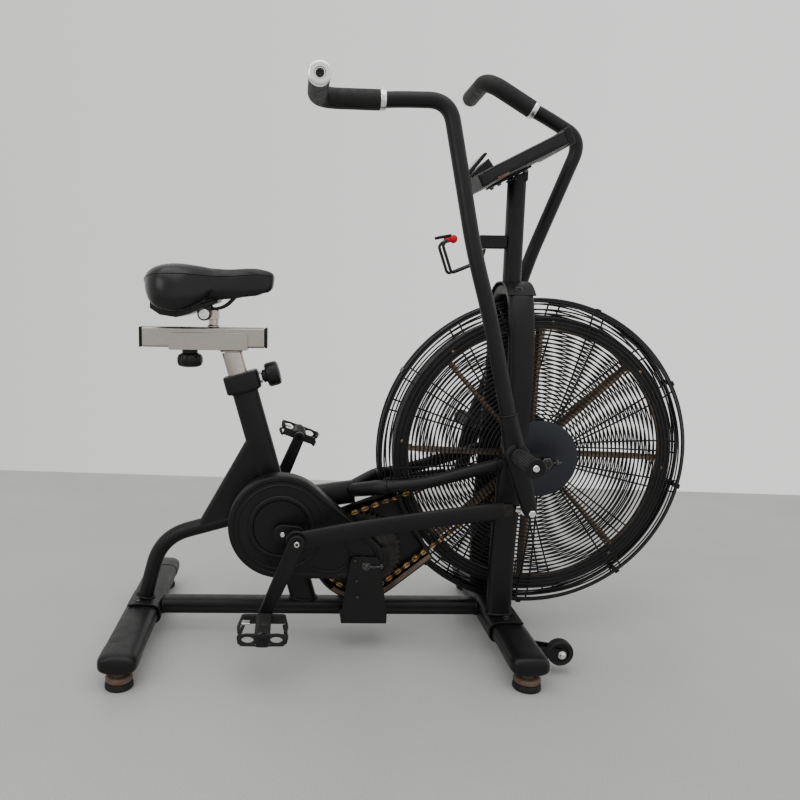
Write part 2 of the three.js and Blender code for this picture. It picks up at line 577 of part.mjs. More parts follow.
function chain(a, ra, b, rb, y) {
  const { half, thick } = CHAIN;
  const outer = plate(belt(a, ra + half, b, rb + half, 32), y - thick / 2, y + thick / 2);
  const inner = plate(belt(a, ra - half, b, rb - half, 32), y - thick, y + thick);
  return cut(outer, inner);
}
add('primary_chain', 'chain', chain(CRANK, CHAIN1.crankR, JACK, CHAIN1.jackR, CHAIN1.y));
add('second_chain', 'chain', chain(JACK, CHAIN2.jackR, FAN, CHAIN2.fanR, CHAIN2.y));

const { head, tail } = COVER;
add('crank_cover', 'plastic', cut(
  plate(belt(head, COVER.r, tail, COVER.tailR, 36), COVER.near, COVER.far),
  plate(belt(head, COVER.r - WALL, tail, COVER.tailR - WALL, 36), COVER.near + WALL, COVER.far + 10),
  pin(CRANK.x, CRANK.z, -130, -50, 18), jackBore));
const caseShape = (g) => belt(JACK, CASE.jackR + g, FAN, CASE.fanR + g, 32);
add('chain_case', 'plastic', cut(
  plate(caseShape(0), CASE.near, CASE.far), plate(caseShape(-WALL), CASE.near - 10, CASE.far - WALL),
  pin(FAN.x, FAN.z, -60, -20, CASE.endR, 96), pin(JACK.x, JACK.z, -60, -20, JACK.r + 3)));

// ---- fan and cage ------------------------------------------------------------------
add('fan_axle', 'bright', join(
  pin(FAN.x, FAN.z, -AXLE.half, AXLE.half, AXLE.r),
  SIDES.map(([, s]) => pin(FAN.x, FAN.z, s * AXLE.nut[0], s * AXLE.nut[1], 15, 6))));

const rimWall = FAN.rim - 4;
const wheelParts = [
  pin(FAN.x, FAN.z, -29, 44, 34), pin(FAN.x, FAN.z, -62, 46, 15),
  pin(FAN.x, FAN.z, CHAIN2.y - 2, CHAIN2.y + 2, CHAIN2.fanR - TOOTH),
];
const bladeStations = [[28, 1, 1.4], [262, 0.94, 1], [276, 0.55, 1], [rimWall - 2.5, 0.5, 1]];
const bladeShape = [
  [-FAN.bladeHalf, -1.5], [FAN.bladeHalf, -1.5], [FAN.bladeHalf, 1.5], [-FAN.bladeHalf, 1.5],
];
for (let i = 0; i < FAN.blades; i += 1) {
  const blade = sweep(
    bladeShape, bladeStations.map(([r]) => v3(r, 0, 0)), v3(0, 1, 0), (k) => bladeStations[k].slice(1));
  wheelParts.push(blade.rotate([0, i * (360 / FAN.blades) + 2, 0]).translate([FAN.x, 0, FAN.z]));
}
add('fan_wheel', 'blade', cut(join(wheelParts), pin(FAN.x, FAN.z, -200, 200, AXLE.r + 0.5)));
add('fan_rim', 'coat', turned([
  [FAN.rim, -28], [FAN.rim, 28], [314, 28], [314, 25], [rimWall, 25], [rimWall, -25],
  [FAN.lip, -25], [FAN.lip, -28],
], FAN.x, FAN.z, 36));

const chainPath = belt(JACK, CHAIN2.jackR + CASE.chainRoom, FAN, CHAIN2.fanR + CASE.chainRoom, 32);
const chainWay = plate(chainPath, CHAIN2.y - CASE.chainRoom, CHAIN2.y + CASE.chainRoom);
const caseEnd = cut(
  plate(caseShape(2), CASE.near - 6, CASE.far + 3), pin(FAN.x, FAN.z, -100, 0, CASE.endR - 2, 96));
const axleTab = [[501, 416], [588, 427], [598, 435], [598, 451], [588, 459], [501, 470]];
for (const [side, s] of SIDES) {
  const disc = [[AXLE.r + GAP, 70], [CAGE.plate, 70], [CAGE.plate, 73], [AXLE.r + GAP, 73]];
  const wires = [turned(disc.map(([r, y]) => [r, s * y]), FAN.x, FAN.z)];
  for (const angle of s < 0 ? CAGE.clips : []) {
    const clip = box(CAGE.r - 3, CAGE.r + 1.5, -15, 9, -6, 6);
    wires.push(clip.rotate([0, -angle, 0]).translate([FAN.x, 0, FAN.z]));
  }
  for (const [r, y] of DISH.slice(1)) {
    const ring = [[r - CAGE.wire, s * (y - 1.5)], [r + CAGE.wire, s * (y - 1.5)], [r, s * (y + 3)]];
    wires.push(turned(ring, FAN.x, FAN.z, 28));
  }
  for (let i = 0; i < CAGE.spokes; i += 1) {
    const spoke = sweep(section(5, 5, 3), DISH.map(([r, y]) => v3(r, s * y, 0)), v3(0, 0, 1));
    wires.push(spoke.rotate([0, (i + 0.5) * (360 / CAGE.spokes), 0]).translate([FAN.x, 0, FAN.z]));
  }
  add(`${side}_cage_grille`, 'coat', cut(join(wires), chainWay, caseEnd));
  add(`${side}_axle_bracket`, 'coat', cut(
    plate(axleTab, s * AXLE.bracket[0], s * AXLE.bracket[1]), arch(GAP),
    pin(FAN.x, FAN.z, s * 100, s * 140, AXLE.r + GAP)));
}

// ---- console and bottle holder -----------------------------------------------------
const consoleStations = [[-0.5, 0.9], [-0.47, 1], [0.47, 1], [0.5, 0.94]];
const consoleBody = sweep(
  section(CONSOLE.wide, CONSOLE.thick, 12, 6), consoleStations.map(([d]) => v3(d * CONSOLE.long, 0, 0)),
  v3(0, 1, 0), (i) => consoleStations[i][1])
  .rotate([0, CONSOLE.tilt, 0]).translate([CONSOLE.x, 0, CONSOLE.z]);
const display = plate([[-30, -10], [26, -10], [26, 6], [-30, 6]], -DISPLAY.half, DISPLAY.half)
  .rotate([0, DISPLAY.tilt, 0]).translate([DISPLAY.x, 0, DISPLAY.z]);
const displayWedge = plate(DISPLAY.wedge, -DISPLAY.half + 6, DISPLAY.half - 6);
add('console_housing', 'coat', join(consoleBody, display, displayWedge));

const holderSide = (s) => [
  v3(446, s * 11, HOLDER.z0 - 1.5), v3(440, s * 12, 886), v3(425, s * HOLDER.spread, 876.5),
  v3(371, s * HOLDER.spread, 854), v3(349, s * HOLDER.spread, 916), v3(358, s * HOLDER.spread, 926),
];
const holderPath = bend([...holderSide(-1), ...holderSide(1).reverse()], 9, 2);
const holderWire = (g = 0) => {
  const across2 = 2 * (HOLDER.wire + g);
  return sweep(section(across2, across2, 6), holderPath, v3(0.1, 1, 0.1));
};
add('bottle_holder', 'steel', holderWire());
const capParts = [
  ball(377, 0, 931, 9, 12), rod(v3(356, 0, 927), v3(377, 0, 931), 6, 12),
  rod(v3(336, 0, 932), v3(371, 0, 938), 2.5, 6),
];
add('bottle_holder_cap', 'red', cut(join(capParts), holderWire(GAP)));

export default group;
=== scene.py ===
"""Air bike: camera, light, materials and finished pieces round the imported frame."""
import math
import bmesh
import bpy
from mathutils import Matrix, Quaternion, Vector, noise


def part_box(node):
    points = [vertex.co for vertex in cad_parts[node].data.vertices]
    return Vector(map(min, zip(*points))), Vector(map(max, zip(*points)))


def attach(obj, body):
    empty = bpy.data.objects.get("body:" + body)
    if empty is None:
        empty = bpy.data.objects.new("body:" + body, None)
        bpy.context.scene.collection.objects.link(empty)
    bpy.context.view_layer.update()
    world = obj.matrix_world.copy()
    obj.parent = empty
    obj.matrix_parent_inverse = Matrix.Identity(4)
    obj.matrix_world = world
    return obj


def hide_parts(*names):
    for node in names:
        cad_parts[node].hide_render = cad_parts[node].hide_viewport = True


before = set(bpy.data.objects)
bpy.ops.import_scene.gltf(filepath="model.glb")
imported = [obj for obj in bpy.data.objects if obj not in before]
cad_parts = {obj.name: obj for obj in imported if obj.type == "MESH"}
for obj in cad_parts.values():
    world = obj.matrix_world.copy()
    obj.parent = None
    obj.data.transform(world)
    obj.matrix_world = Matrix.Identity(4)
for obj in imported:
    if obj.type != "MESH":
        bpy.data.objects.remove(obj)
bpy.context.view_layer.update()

# ---- anchors taken from the frame, in millimetres, X measured from the crank axis ----


def middle(node):
    low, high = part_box(node)
    return (low + high) / 2


CRANK_AXIS = middle("crank_spindle")


def mm(point):
    """A point of the shared frame in this script's units."""
    return Vector(((point.x - CRANK_AXIS.x) * 1000, point.y * 1000, point.z * 1000))


def metres(point):
    """A crank-based point in millimetres as a point of the shared frame."""
    return Vector((point[0] / 1000 + CRANK_AXIS.x, point[1] / 1000, point[2] / 1000))


def low_high(node):
    low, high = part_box(node)
    return mm(low), mm(high)


def in_mid_plane(node):
    place = mm(middle(node))
    return Vector((place.x, 0, place.z))


CRANK = in_mid_plane("crank_spindle")
JACK = in_mid_plane("jackshaft")
FAN = in_mid_plane("fan_axle")
PIVOT = in_mid_plane("right_foot_peg")
REAR_BAR = mm(middle("rear_stabiliser"))
FRONT_X = mm(middle("front_right_foot")).x
SIDES = (("right", -1), ("left", 1))
ROD_END = Vector((PIVOT.x + 36, 0, PIVOT.z - 123))
SWING = math.radians(29.4)  # the left handle stands this far ahead of the right one
THROW = 31  # from the crank axis to each connecting rod's pin
PEDAL_LEAN = 0.2247  # radians from upright
PEDAL_R = 166
Y_ROD = 158
Y_ARM = 186
CHAIN1 = {"y": -78, "a": 89, "b": 32.5}  # plane and the two pitch radii
CHAIN2 = {"y": -45, "a": 93, "b": 22.2}
CAGE_PLATE = 87  # radius of the guard's centre disc
CLIP_ANGLES = [28 + 40 * k for k in range(9)]  # degrees round the fan, at each clip and pair of spokes
DISH = ((83, 71.5), (190, 65), (285, 51), (342, 36), (359.5, 12))  # the guard's radius and half width

# ---- materials -------------------------------------------------------------------------


class Nodes:
    """Short hand for building one material's node tree."""

    def __init__(self, name):
        self.mat = bpy.data.materials.new(name)
        self.mat.use_nodes = True
        self.tree = self.mat.node_tree
        self.shader = self.tree.nodes["Principled BSDF"]
        self.coord = self.tree.nodes.new("ShaderNodeTexCoord").outputs["Object"]

    def new(self, kind, **inputs):
        node = self.tree.nodes.new("ShaderNode" + kind)
        for key, value in inputs.items():
            node.inputs[key.replace("_", " ")].default_value = value
        return node

    def link(self, a, b):
        self.tree.links.new(a, b)

    def stretched(self, x, y, z):
        node = self.new("Mapping", Scale=(x, y, z))
        self.link(self.coord, node.inputs["Vector"])
        return node.outputs["Vector"]

    def noise(self, scale, detail=4.0, rough=0.55, coord=None):
        node = self.new("TexNoise", Scale=scale, Detail=detail, Roughness=rough)
        self.link(coord or self.coord, node.inputs["Vector"])
        return node.outputs["Fac"]

    def cells(self, scale, coord=None, feature="F1"):
        node = self.new("TexVoronoi", Scale=scale)
        node.feature = feature
        self.link(coord or self.coord, node.inputs["Vector"])
        return node.outputs["Distance"]

    def ramp(self, fac, stops):
        node = self.new("ValToRGB")
        points = node.color_ramp.elements
        while len(points) < len(stops):
            points.new(0.5)
        for point, (place, colour) in zip(points, stops):
            point.position = place
            point.color = (*colour, 1)
        self.link(fac, node.inputs["Fac"])
        return node.outputs["Color"]

    def span(self, fac, low, high):
        node = self.new("MapRange")
        node.inputs["From Min"].default_value = 0.3
        node.inputs["From Max"].default_value = 0.7
        node.inputs["To Min"].default_value = low
        node.inputs["To Max"].default_value = high
        self.link(fac, node.inputs["Value"])
        return node.outputs["Result"]

    def mix(self, fac, a, b):
        node = self.new("Mix")
        node.data_type = "RGBA"
        if isinstance(fac, float):
            node.inputs["Factor"].default_value = fac
        else:
            self.link(fac, node.inputs["Factor"])
        for socket, value in ((node.inputs[6], a), (node.inputs[7], b)):
            if isinstance(value, tuple):
                socket.default_value = (*value, 1)
            else:
                self.link(value, socket)
        return node.outputs[2]

    def bump(self, height, strength, distance, after=None):
        node = self.new("Bump", Strength=strength, Distance=distance)
        self.link(height, node.inputs["Height"])
        if after is not None:
            self.link(after, node.inputs["Normal"])
        return node.outputs["Normal"]

    def finish(self, colour, roughness, normal=None, metallic=0.0, **more):
        self.link(colour, self.shader.inputs["Base Color"])
        self.link(roughness, self.shader.inputs["Roughness"])
        if normal is not None:
            self.link(normal, self.shader.inputs["Normal"])
        self.shader.inputs["Metallic"].default_value = metallic
        for key, value in more.items():
            self.shader.inputs[key.replace("_", " ")].default_value = value
        return self.mat


def powder_coat(name, dark, light, rough=(0.36, 0.5), grain=0.25):
    """Satin powder coat: cloudy tone, fine orange peel and a little pale scuffing."""
    n = Nodes(name)
    cloud = n.ramp(n.noise(9, 5), [(0.3, dark), (0.75, light)])
    scuff = n.ramp(n.noise(70, 8, 0.7), [(0.66, (0, 0, 0)), (0.82, (1, 1, 1))])
    colour = n.mix(scuff, cloud, tuple(min(1, c * 2.2 + 0.004) for c in light))
    peel = n.bump(n.noise(1500, 2), grain, 0.0002)
    normal = n.bump(n.noise(60, 3), 0.08, 0.0006, peel)
    return n.finish(colour, n.span(n.noise(35, 5), *rough), normal, Specular_IOR_Level=0.26)


def moulded_plastic(name, dark, light, rough=(0.34, 0.5)):
    n = Nodes(name)
    colour = n.ramp(n.noise(14, 4), [(0.3, dark), (0.8, light)])
    normal = n.bump(n.cells(1100), 0.18, 0.00015)
    return n.finish(colour, n.span(n.noise(50, 6), *rough), normal, Specular_IOR_Level=0.26)


def rubber(name, dark, light, rough=(0.55, 0.75)):
    n = Nodes(name)
    colour = n.ramp(n.noise(40, 6), [(0.35, dark), (0.8, light)])
    normal = n.bump(n.noise(900, 3), 0.35, 0.0003)
    return n.finish(colour, n.span(n.noise(90, 4), *rough), normal, Specular_IOR_Level=0.3)


def brushed(name, dark, light, rough=(0.24, 0.4), stretch=(1.5, 40, 40), strength=0.12):
    """Drawn metal: streaks along one axis with soft smudges over them."""
    n = Nodes(name)
    streaks = n.noise(30, 6, 0.6, n.stretched(*stretch))
    tone = n.mix(n.noise(11, 4), n.ramp(streaks, [(0.25, dark), (0.75, light)]), light)
    normal = n.bump(streaks, strength, 0.0003)
    return n.finish(tone, n.span(n.noise(22, 6), *rough), normal, 1.0)


def bright_metal(name, dark, light, rough=(0.1, 0.22)):
    n = Nodes(name)
    colour = n.ramp(n.noise(60, 6), [(0.3, dark), (0.7, light)])
    normal = n.bump(n.noise(400, 4), 0.05, 0.0002)
    return n.finish(colour, n.span(n.noise(80, 5), *rough), normal, 1.0)


def saddle_vinyl():
    """Black vinyl with a fine leather grain and a soft sheen."""
    n = Nodes("saddle_vinyl")
    colour = n.ramp(n.noise(16, 5), [(0.3, (0.0025, 0.0025, 0.003)), (0.8, (0.006, 0.006, 0.0065))])
    grain = n.bump(n.cells(620, feature="SMOOTH_F1"), 0.22, 0.0004)
    normal = n.bump(n.noise(1600, 3), 0.12, 0.0002, grain)
    return n.finish(colour, n.span(n.noise(30, 5), 0.2, 0.32), normal,
                    Specular_IOR_Level=0.3, Sheen_Weight=0.02, Sheen_Roughness=0.4)


def dusty(name, base, dust, amount=(0.35, 0.65), metal=0.1):
    """Dark sheet metal under brown dust that lies in patches."""
    n = Nodes(name)
    patches = n.ramp(n.noise(26, 9, 0.68), [(amount[0], (0, 0, 0)), (amount[1], (1, 1, 1))])
    tone = n.ramp(n.noise(8, 4), [(0.3, dust), (0.75, tuple(c * 1.35 for c in dust))])
    colour = n.mix(patches, base, tone)
    normal = n.bump(n.noise(300, 6), 0.25, 0.0004)
    return n.finish(colour, n.span(n.noise(45, 5), 0.55, 0.8), normal, metal)


def rusty(name, steel, rust):
    n = Nodes(name)
    patches = n.ramp(n.noise(75, 10, 0.7), [(0.42, (0, 0, 0)), (0.56, (1, 1, 1))])
    tone = n.ramp(n.noise(160, 6), [(0.3, rust), (0.75, tuple(c * 0.45 for c in rust))])
    normal = n.bump(n.noise(420, 8, 0.7), 0.5, 0.0006)
    return n.finish(n.mix(patches, steel, tone), n.span(n.noise(60, 4), 0.5, 0.85), normal, 0.25)


def plated_chain():
    """Gold plated links, brighter where they rub and brown with old grease elsewhere."""
    n = Nodes("gold_chain")
    grease = n.ramp(n.noise(90, 8, 0.7), [(0.4, (0, 0, 0)), (0.62, (1, 1, 1))])
    gold = n.ramp(n.noise(40, 4), [(0.3, (0.50, 0.29, 0.09)), (0.75, (0.70, 0.46, 0.19))])
    colour = n.mix(grease, gold, (0.10, 0.035, 0.012))
    normal = n.bump(n.noise(500, 5), 0.2, 0.0003)
    return n.finish(colour, n.span(n.noise(70, 4), 0.28, 0.5), normal, 0.75)


def floor_paint():
    """Pale grey resin floor with fine speckle."""
    n = Nodes("resin_floor")
    speck = n.ramp(n.noise(420, 3), [(0.36, (0.30, 0.30, 0.292)), (0.64, (0.50, 0.50, 0.488))])
    cloud = n.ramp(n.noise(1.6, 5), [(0.3, (0.36, 0.36, 0.35)), (0.7, (0.43, 0.43, 0.418))])
    normal = n.bump(n.noise(350, 3), 0.1, 0.0005)
    return n.finish(n.mix(0.5, speck, cloud), n.span(n.noise(5, 4), 0.42, 0.6), normal)


COAT = powder_coat("black_coat", (0.0022, 0.0022, 0.0024), (0.0055, 0.0055, 0.0058))
CONSOLE_COAT = powder_coat("console_coat", (0.006, 0.006, 0.0065), (0.012, 0.012, 0.0125), (0.4, 0.55), 0.4)
CAP_PLASTIC = moulded_plastic("cap_plastic", (0.0018, 0.0018, 0.002), (0.0042, 0.0042, 0.0045), (0.3, 0.45))
COVER_PLASTIC = moulded_plastic("cover_plastic", (0.0018, 0.0018, 0.002), (0.0042, 0.0042, 0.0044))
GRIP_RUBBER = rubber("grip_rubber", (0.0055, 0.0055, 0.0055), (0.011, 0.011, 0.011))
PEDAL_PLASTIC = dusty("pedal_resin", (0.003, 0.003, 0.003), (0.06, 0.045, 0.034), (0.58, 0.86), 0.0)
PEG_RUBBER = rubber("peg_rubber", (0.014, 0.014, 0.014), (0.035, 0.035, 0.035))
BOLT_DARK = bright_metal("dark_bolt", (0.055, 0.055, 0.056), (0.13, 0.128, 0.125), (0.3, 0.42))
STEEL_X = brushed("stainless_slider", (0.27, 0.25, 0.22), (0.43, 0.40, 0.36))
STEEL_Z = brushed("stainless_post", (0.22, 0.18, 0.16), (0.56, 0.50, 0.46), (0.16, 0.28), (40, 40, 1.5))
CHROME = bright_metal("bright_bolt", (0.62, 0.62, 0.61), (0.86, 0.86, 0.85))
RING_METAL = bright_metal("ring_metal", (0.72, 0.72, 0.72), (0.88, 0.88, 0.88), (0.2, 0.35))
GEAR_METAL = bright_metal("oiled_gear", (0.02, 0.0195, 0.019), (0.05, 0.047, 0.044), (0.32, 0.5))
VINYL = saddle_vinyl()
BLADE_DUST = dusty("blade_dust", (0.05, 0.036, 0.027), (0.20, 0.135, 0.088), (0.25, 0.5))
RIM_COAT = dusty("rim_coat", (0.008, 0.008, 0.0085), (0.045, 0.033, 0.025), (0.58, 0.84))
LIP_DUST = dusty("lip_dust", (0.03, 0.022, 0.017), (0.12, 0.08, 0.052), (0.35, 0.6))
HUB_DISC = powder_coat("hub_disc_coat", (0.012, 0.014, 0.019), (0.019, 0.022, 0.028), (0.42, 0.55), 0.15)
FOOT_RUST = rusty("foot_rust", (0.10, 0.085, 0.075), (0.16, 0.075, 0.04))
RIVET = rusty("rivet_rust", (0.40, 0.33, 0.25), (0.34, 0.16, 0.07))
GOLD = plated_chain()
LINK_DARK = dusty("inner_links", (0.010, 0.008, 0.006), (0.05, 0.024, 0.012), (0.55, 0.85), 0.4)
RED = moulded_plastic("red_cap", (0.40, 0.003, 0.008), (0.56, 0.006, 0.012), (0.35, 0.45))
SCREEN = moulded_plastic("screen_face", (0.34, 0.35, 0.345), (0.46, 0.47, 0.46), (0.18, 0.26))
WIRE_COAT = powder_coat("wire_coat", (0.004, 0.004, 0.0045), (0.008, 0.008, 0.0085), (0.3, 0.42), 0.1)

# ---- mesh building -------------------------------------------------------------------


def section(wide, high, n=24, power=2.0):
    """Closed oval or rounded-square outline."""
    out = []
    for i in range(n):
        t = (i + 0.5) * 2 * math.pi / n
        c, s = math.cos(t), math.sin(t)
        out.append((math.copysign(abs(c) ** (2 / power), c) * wide / 2,
                    math.copysign(abs(s) ** (2 / power), s) * high / 2))
    return out


def bend(points, r, steps=8):
    """A polyline with rounded corners."""
    points = [Vector(p) for p in points]
    out = [points[0]]
    for before, p, after in zip(points, points[1:], points[2:]):
        d = min(r, (before - p).length * 0.45, (after - p).length * 0.45)
        a = p + (before - p).normalized() * d
        b = p + (after - p).normalized() * d
        for k in range(steps + 1):
            t = k / steps
            out.append(a * (1 - t) ** 2 + p * 2 * t * (1 - t) + b * t * t)
    return out + [points[-1]]


def belt(a, ra, b, rb, n=96):
    """Outline [x, z] round two circles and their outer tangents."""
    way = math.atan2(b.z - a.z, b.x - a.x)
    opening = math.acos((ra - rb) / math.hypot(b.x - a.x, b.z - a.z))
    out = []
    for c, r, start, end, steps in ((a, ra, way + opening, way + 2 * math.pi - opening, int(n * 0.6)),
                                    (b, rb, way - opening, way + opening, int(n * 0.4))):
        for i in range(steps + 1):
            t = start + (end - start) * i / steps
            out.append((c.x + r * math.cos(t), c.z + r * math.sin(t)))
    return out


class Shape:
    """Collects closed shells in millimetres and turns them into one Blender mesh."""

    def __init__(self):
        self.verts = []
        self.faces = []

    def add(self, verts, faces):
        start = len(self.verts)
        self.verts += [Vector(v) for v in verts]
        self.faces += [[start + i for i in f] for f in faces]
        return self

    def skin(self, loops, closed=False):
        """Joins equal loops of points in turn, with both ends capped or the last joined to the first."""
        n, rings, faces = len(loops[0]), len(loops), []
        for i in range(rings if closed else rings - 1):
            a, b = i * n, (i + 1) % rings * n
            faces += [(a + k, a + (k + 1) % n, b + (k + 1) % n, b + k) for k in range(n)]
        if not closed:
            faces += [tuple(range(n - 1, -1, -1)), tuple((rings - 1) * n + k for k in range(n))]
        return self.add([v for loop in loops for v in loop], faces)

    def sweep(self, points, outline, side=(0, 1, 0), scale=None, closed=False):
        """Carries an outline along a line of points, with its first axis kept near side."""
        points = [Vector(p) for p in points]
        across = Vector(side)
        rings, loops = len(points), []
        for i, p in enumerate(points):
            if closed:
                way = points[(i + 1) % rings] - points[i - 1]
            else:
                way = points[min(i + 1, rings - 1)] - points[max(i - 1, 0)]
            way.normalize()
            across = (across - way * across.dot(way)).normalized()
            up = way.cross(across)
            sw, sh = scale(i) if scale else (1, 1)
            loops.append([p + across * (w * sw) + up * (h * sh) for w, h in outline])
        return self.skin(loops, closed)

    def tube(self, points, r, n=16, **more):
        return self.sweep(points, section(2 * r, 2 * r, n), **more)

    def lathe(self, profile, centre, axis=(0, 1, 0), seg=48, grooves=0):
        """Turns a closed [radius, height] profile about an axis, with finger grooves if asked for."""
        turn = Vector((0, 0, 1)).rotation_difference(Vector(axis))
        grip_r = 0.8 * max(r for r, _ in profile)
        rows, verts, faces = [], [], []
        for r, h in profile:
            count = 1 if r < 1e-6 else seg
            rows.append((len(verts), count))
            for k in range(count):
                t = 2 * math.pi * k / seg
                dent = 0.09 * (0.5 + 0.5 * math.cos(grooves * t)) ** 3 if grooves and r > grip_r else 0
                reach = r * (1 - dent)
                verts.append(Vector(centre) + turn @ Vector((reach * math.cos(t), reach * math.sin(t), h)))
        for (a, na), (b, nb) in zip(rows, rows[1:] + rows[:1]):
            if na == 1 and nb == 1:
                continue
            for k in range(seg):
                m = (k + 1) % seg
                if na == 1:
                    faces.append((a, b + m, b + k))
                elif nb == 1:
                    faces.append((a + k, a + m, b))
                else:
                    faces.append((a + k, a + m, b + m, b + k))
        return self.add(verts, faces)

    def prism(self, outline, y0, y1):
        """An [x, z] outline given a thickness in Y."""
        return self.skin([[(x, y, z) for x, z in outline] for y in (y0, y1)])

    def frame_plate(self, outer, inner, y0, y1):
        """A flat band between two outlines with the same number of points."""
        corners = ((outer, y0), (inner, y0), (inner, y1), (outer, y1))
        return self.skin([[(x, y, z) for x, z in edge] for edge, y in corners], closed=True)

    def ring(self, r0, r1, h0, h1, centre, axis=(0, 1, 0), seg=48):
        """A square-edged ring, or a plain rod where r0 is 0."""
        return self.lathe([(r0, h0), (r1, h0), (r1, h1), (r0, h1)], centre, axis, seg)

    def box(self, x0, x1, y0, y1, z0, z1):
        return self.prism([(x0, z0), (x1, z0), (x1, z1), (x0, z1)], y0, y1)

    def bolt(self, centre, axis, r=7, high=5, washer=True):
        """Hex head with a chamfer and a shallow stamped face, on a washer."""
        if washer:
            self.lathe([(0, 0), (r * 1.35, 0), (r * 1.35, 0.9), (r * 1.25, 1.4), (0, 1.4)], centre, axis, 24)
        base = Vector(centre) + Vector(axis).normalized() * 1.4
        self.lathe([(0, 0), (r, 0), (r, high - 1.2), (r * 0.86, high), (r * 0.6, high),
                    (r * 0.55, high - 0.7), (0, high - 0.7)], base, axis, 6)
        return self

    def cap_screw(self, centre, axis, r=7, high=4):
        """Round head with a hex socket."""
        self.lathe([(0, 0), (r, 0), (r, high * 0.55), (r * 0.82, high), (r * 0.5, high),
                    (r * 0.48, high * 0.4), (0, high * 0.4)], centre, axis, 24)
        return self

    def weld(self, centre, normal, wide, high, bead=2.6, seed=0):
        """A rippled weld bead along an oval round a tube joint."""
        normal = Vector(normal).normalized()
        across = Vector((0, 1, 0))
        across = (across - normal * across.dot(normal)).normalized()
        up = normal.cross(across)
        count = 72
        points, sizes = [], []
        for i in range(count):
            t = 2 * math.pi * i / count
            points.append(Vector(centre) + across * (math.cos(t) * wide / 2) + up * (math.sin(t) * high / 2))
            sizes.append(1 + 0.22 * (i % 2) + 0.25 * noise.noise(Vector((i * 0.9, seed, 0))))
        return self.sweep(points, section(2 * bead, 2 * bead, 8), side=normal, closed=True,
                          scale=lambda i: (sizes[i], sizes[i]))

    def turned(self, rotation, about):
        """Rotates everything so far about a point."""
        about = Vector(about)
        self.verts = [rotation @ (v - about) + about for v in self.verts]
        return self

    def moved(self, rotation, to):
        """Carries a shape made round the origin to its place."""
        self.verts = [rotation @ v + to for v in self.verts]
        return self

    def mirrored(self):
        self.verts = [Vector((v.x, -v.y, v.z)) for v in self.verts]
        self.faces = [list(reversed(f)) for f in self.faces]
        return self

    def placed(self, side):
        """Right-hand arm parts as they are; left-hand ones mirrored and swung forward."""
        if side > 0:
            self.mirrored().turned(Matrix.Rotation(SWING, 3, "Y"), PIVOT)
        return self

    def make(self, name, mat, body="frame", slot="coat", replaces=(), bevel=0.0, sharp=35, subsurf=0,
             steps=2):
        mesh = bpy.data.meshes.new(name)
        mesh.from_pydata([metres(v) for v in self.verts], [], self.faces)
        bm = bmesh.new()
        bm.from_mesh(mesh)
        bmesh.ops.recalc_face_normals(bm, faces=bm.faces)
        bm.to_mesh(mesh)
        bm.free()
        mesh.polygons.foreach_set("use_smooth", [True] * len(mesh.polygons))
        mesh.set_sharp_from_angle(angle=math.radians(sharp))
        mesh.materials.append(mat)
        obj = bpy.data.objects.new(name, mesh)
        bpy.context.collection.objects.link(obj)
        if bevel:
            mod = obj.modifiers.new("edge", "BEVEL")
            mod.width = bevel / 1000
            mod.segments = steps
            mod.limit_method = "ANGLE"
            mod.angle_limit = math.radians(38)
            mod.harden_normals = True
        if subsurf:
            mod = obj.modifiers.new("smooth", "SUBSURF")
            mod.levels = subsurf
            mod.render_levels = subsurf
        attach(obj, body)
        if replaces:
            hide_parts(*replaces)
        return obj


# ---- camera, floor and light ----------------------------------------------------------


def look(location, lens, yaw, pitch, roll, shift):
    """The photograph's viewpoint: angles in radians from looking level along +Y."""
    cam = bpy.data.cameras.new("camera")
    cam.lens = lens
    cam.sensor_width = 36
    cam.shift_x = shift
    obj = bpy.data.objects.new("camera", cam)
    bpy.context.collection.objects.link(obj)
    ahead = Vector((math.sin(yaw) * math.cos(pitch), math.cos(yaw) * math.cos(pitch), -math.sin(pitch)))
    level = ahead.to_track_quat("-Z", "Y")
    obj.matrix_world = Matrix.Translation(location) @ (
        Quaternion(ahead, roll) @ level).to_matrix().to_4x4()
    bpy.context.scene.camera = obj


def pale_floor():
    """Floor that ends along a slanted line behind the bike; nothing stands above it."""
    half, back_left, back_right = 4, 1.843, 1.124
    mesh = bpy.data.meshes.new("floor")
    mesh.from_pydata([(-half, -half, 0), (half, -half, 0), (half + CRANK_AXIS.x, back_right, 0),
                      (-half + CRANK_AXIS.x, back_left, 0)], [], [(0, 1, 2, 3)])
    mesh.materials.append(floor_paint())
    floor = bpy.data.objects.new("floor", mesh)
    bpy.context.collection.objects.link(floor)


def studio_world():
    """Pale surroundings, a little darker towards the left, that light the bike from all sides."""
    world = bpy.data.worlds.new("studio")
    world.use_nodes = True
    tree = world.node_tree
    facing = tree.nodes.new("ShaderNodeSeparateXYZ")
    wall_tone = tree.nodes.new("ShaderNodeValToRGB")
    wall_tone.color_ramp.elements[0].color = (0.60, 0.60, 0.585, 1)
    wall_tone.color_ramp.elements[1].position = 0.75
    wall_tone.color_ramp.elements[1].color = (0.80, 0.80, 0.79, 1)
    spread = tree.nodes.new("ShaderNodeMapRange")
    spread.inputs["From Min"].default_value = -0.55
    spread.inputs["From Max"].default_value = 0.75
    tree.links.new(tree.nodes.new("ShaderNodeTexCoord").outputs["Generated"], facing.inputs["Vector"])
    tree.links.new(facing.outputs["X"], spread.inputs["Value"])
    tree.links.new(spread.outputs["Result"], wall_tone.inputs["Fac"])
    tree.links.new(wall_tone.outputs["Color"], tree.nodes["Background"].inputs["Color"])
    tree.nodes["Background"].inputs["Strength"].default_value = 1.42
    bpy.context.scene.world = world


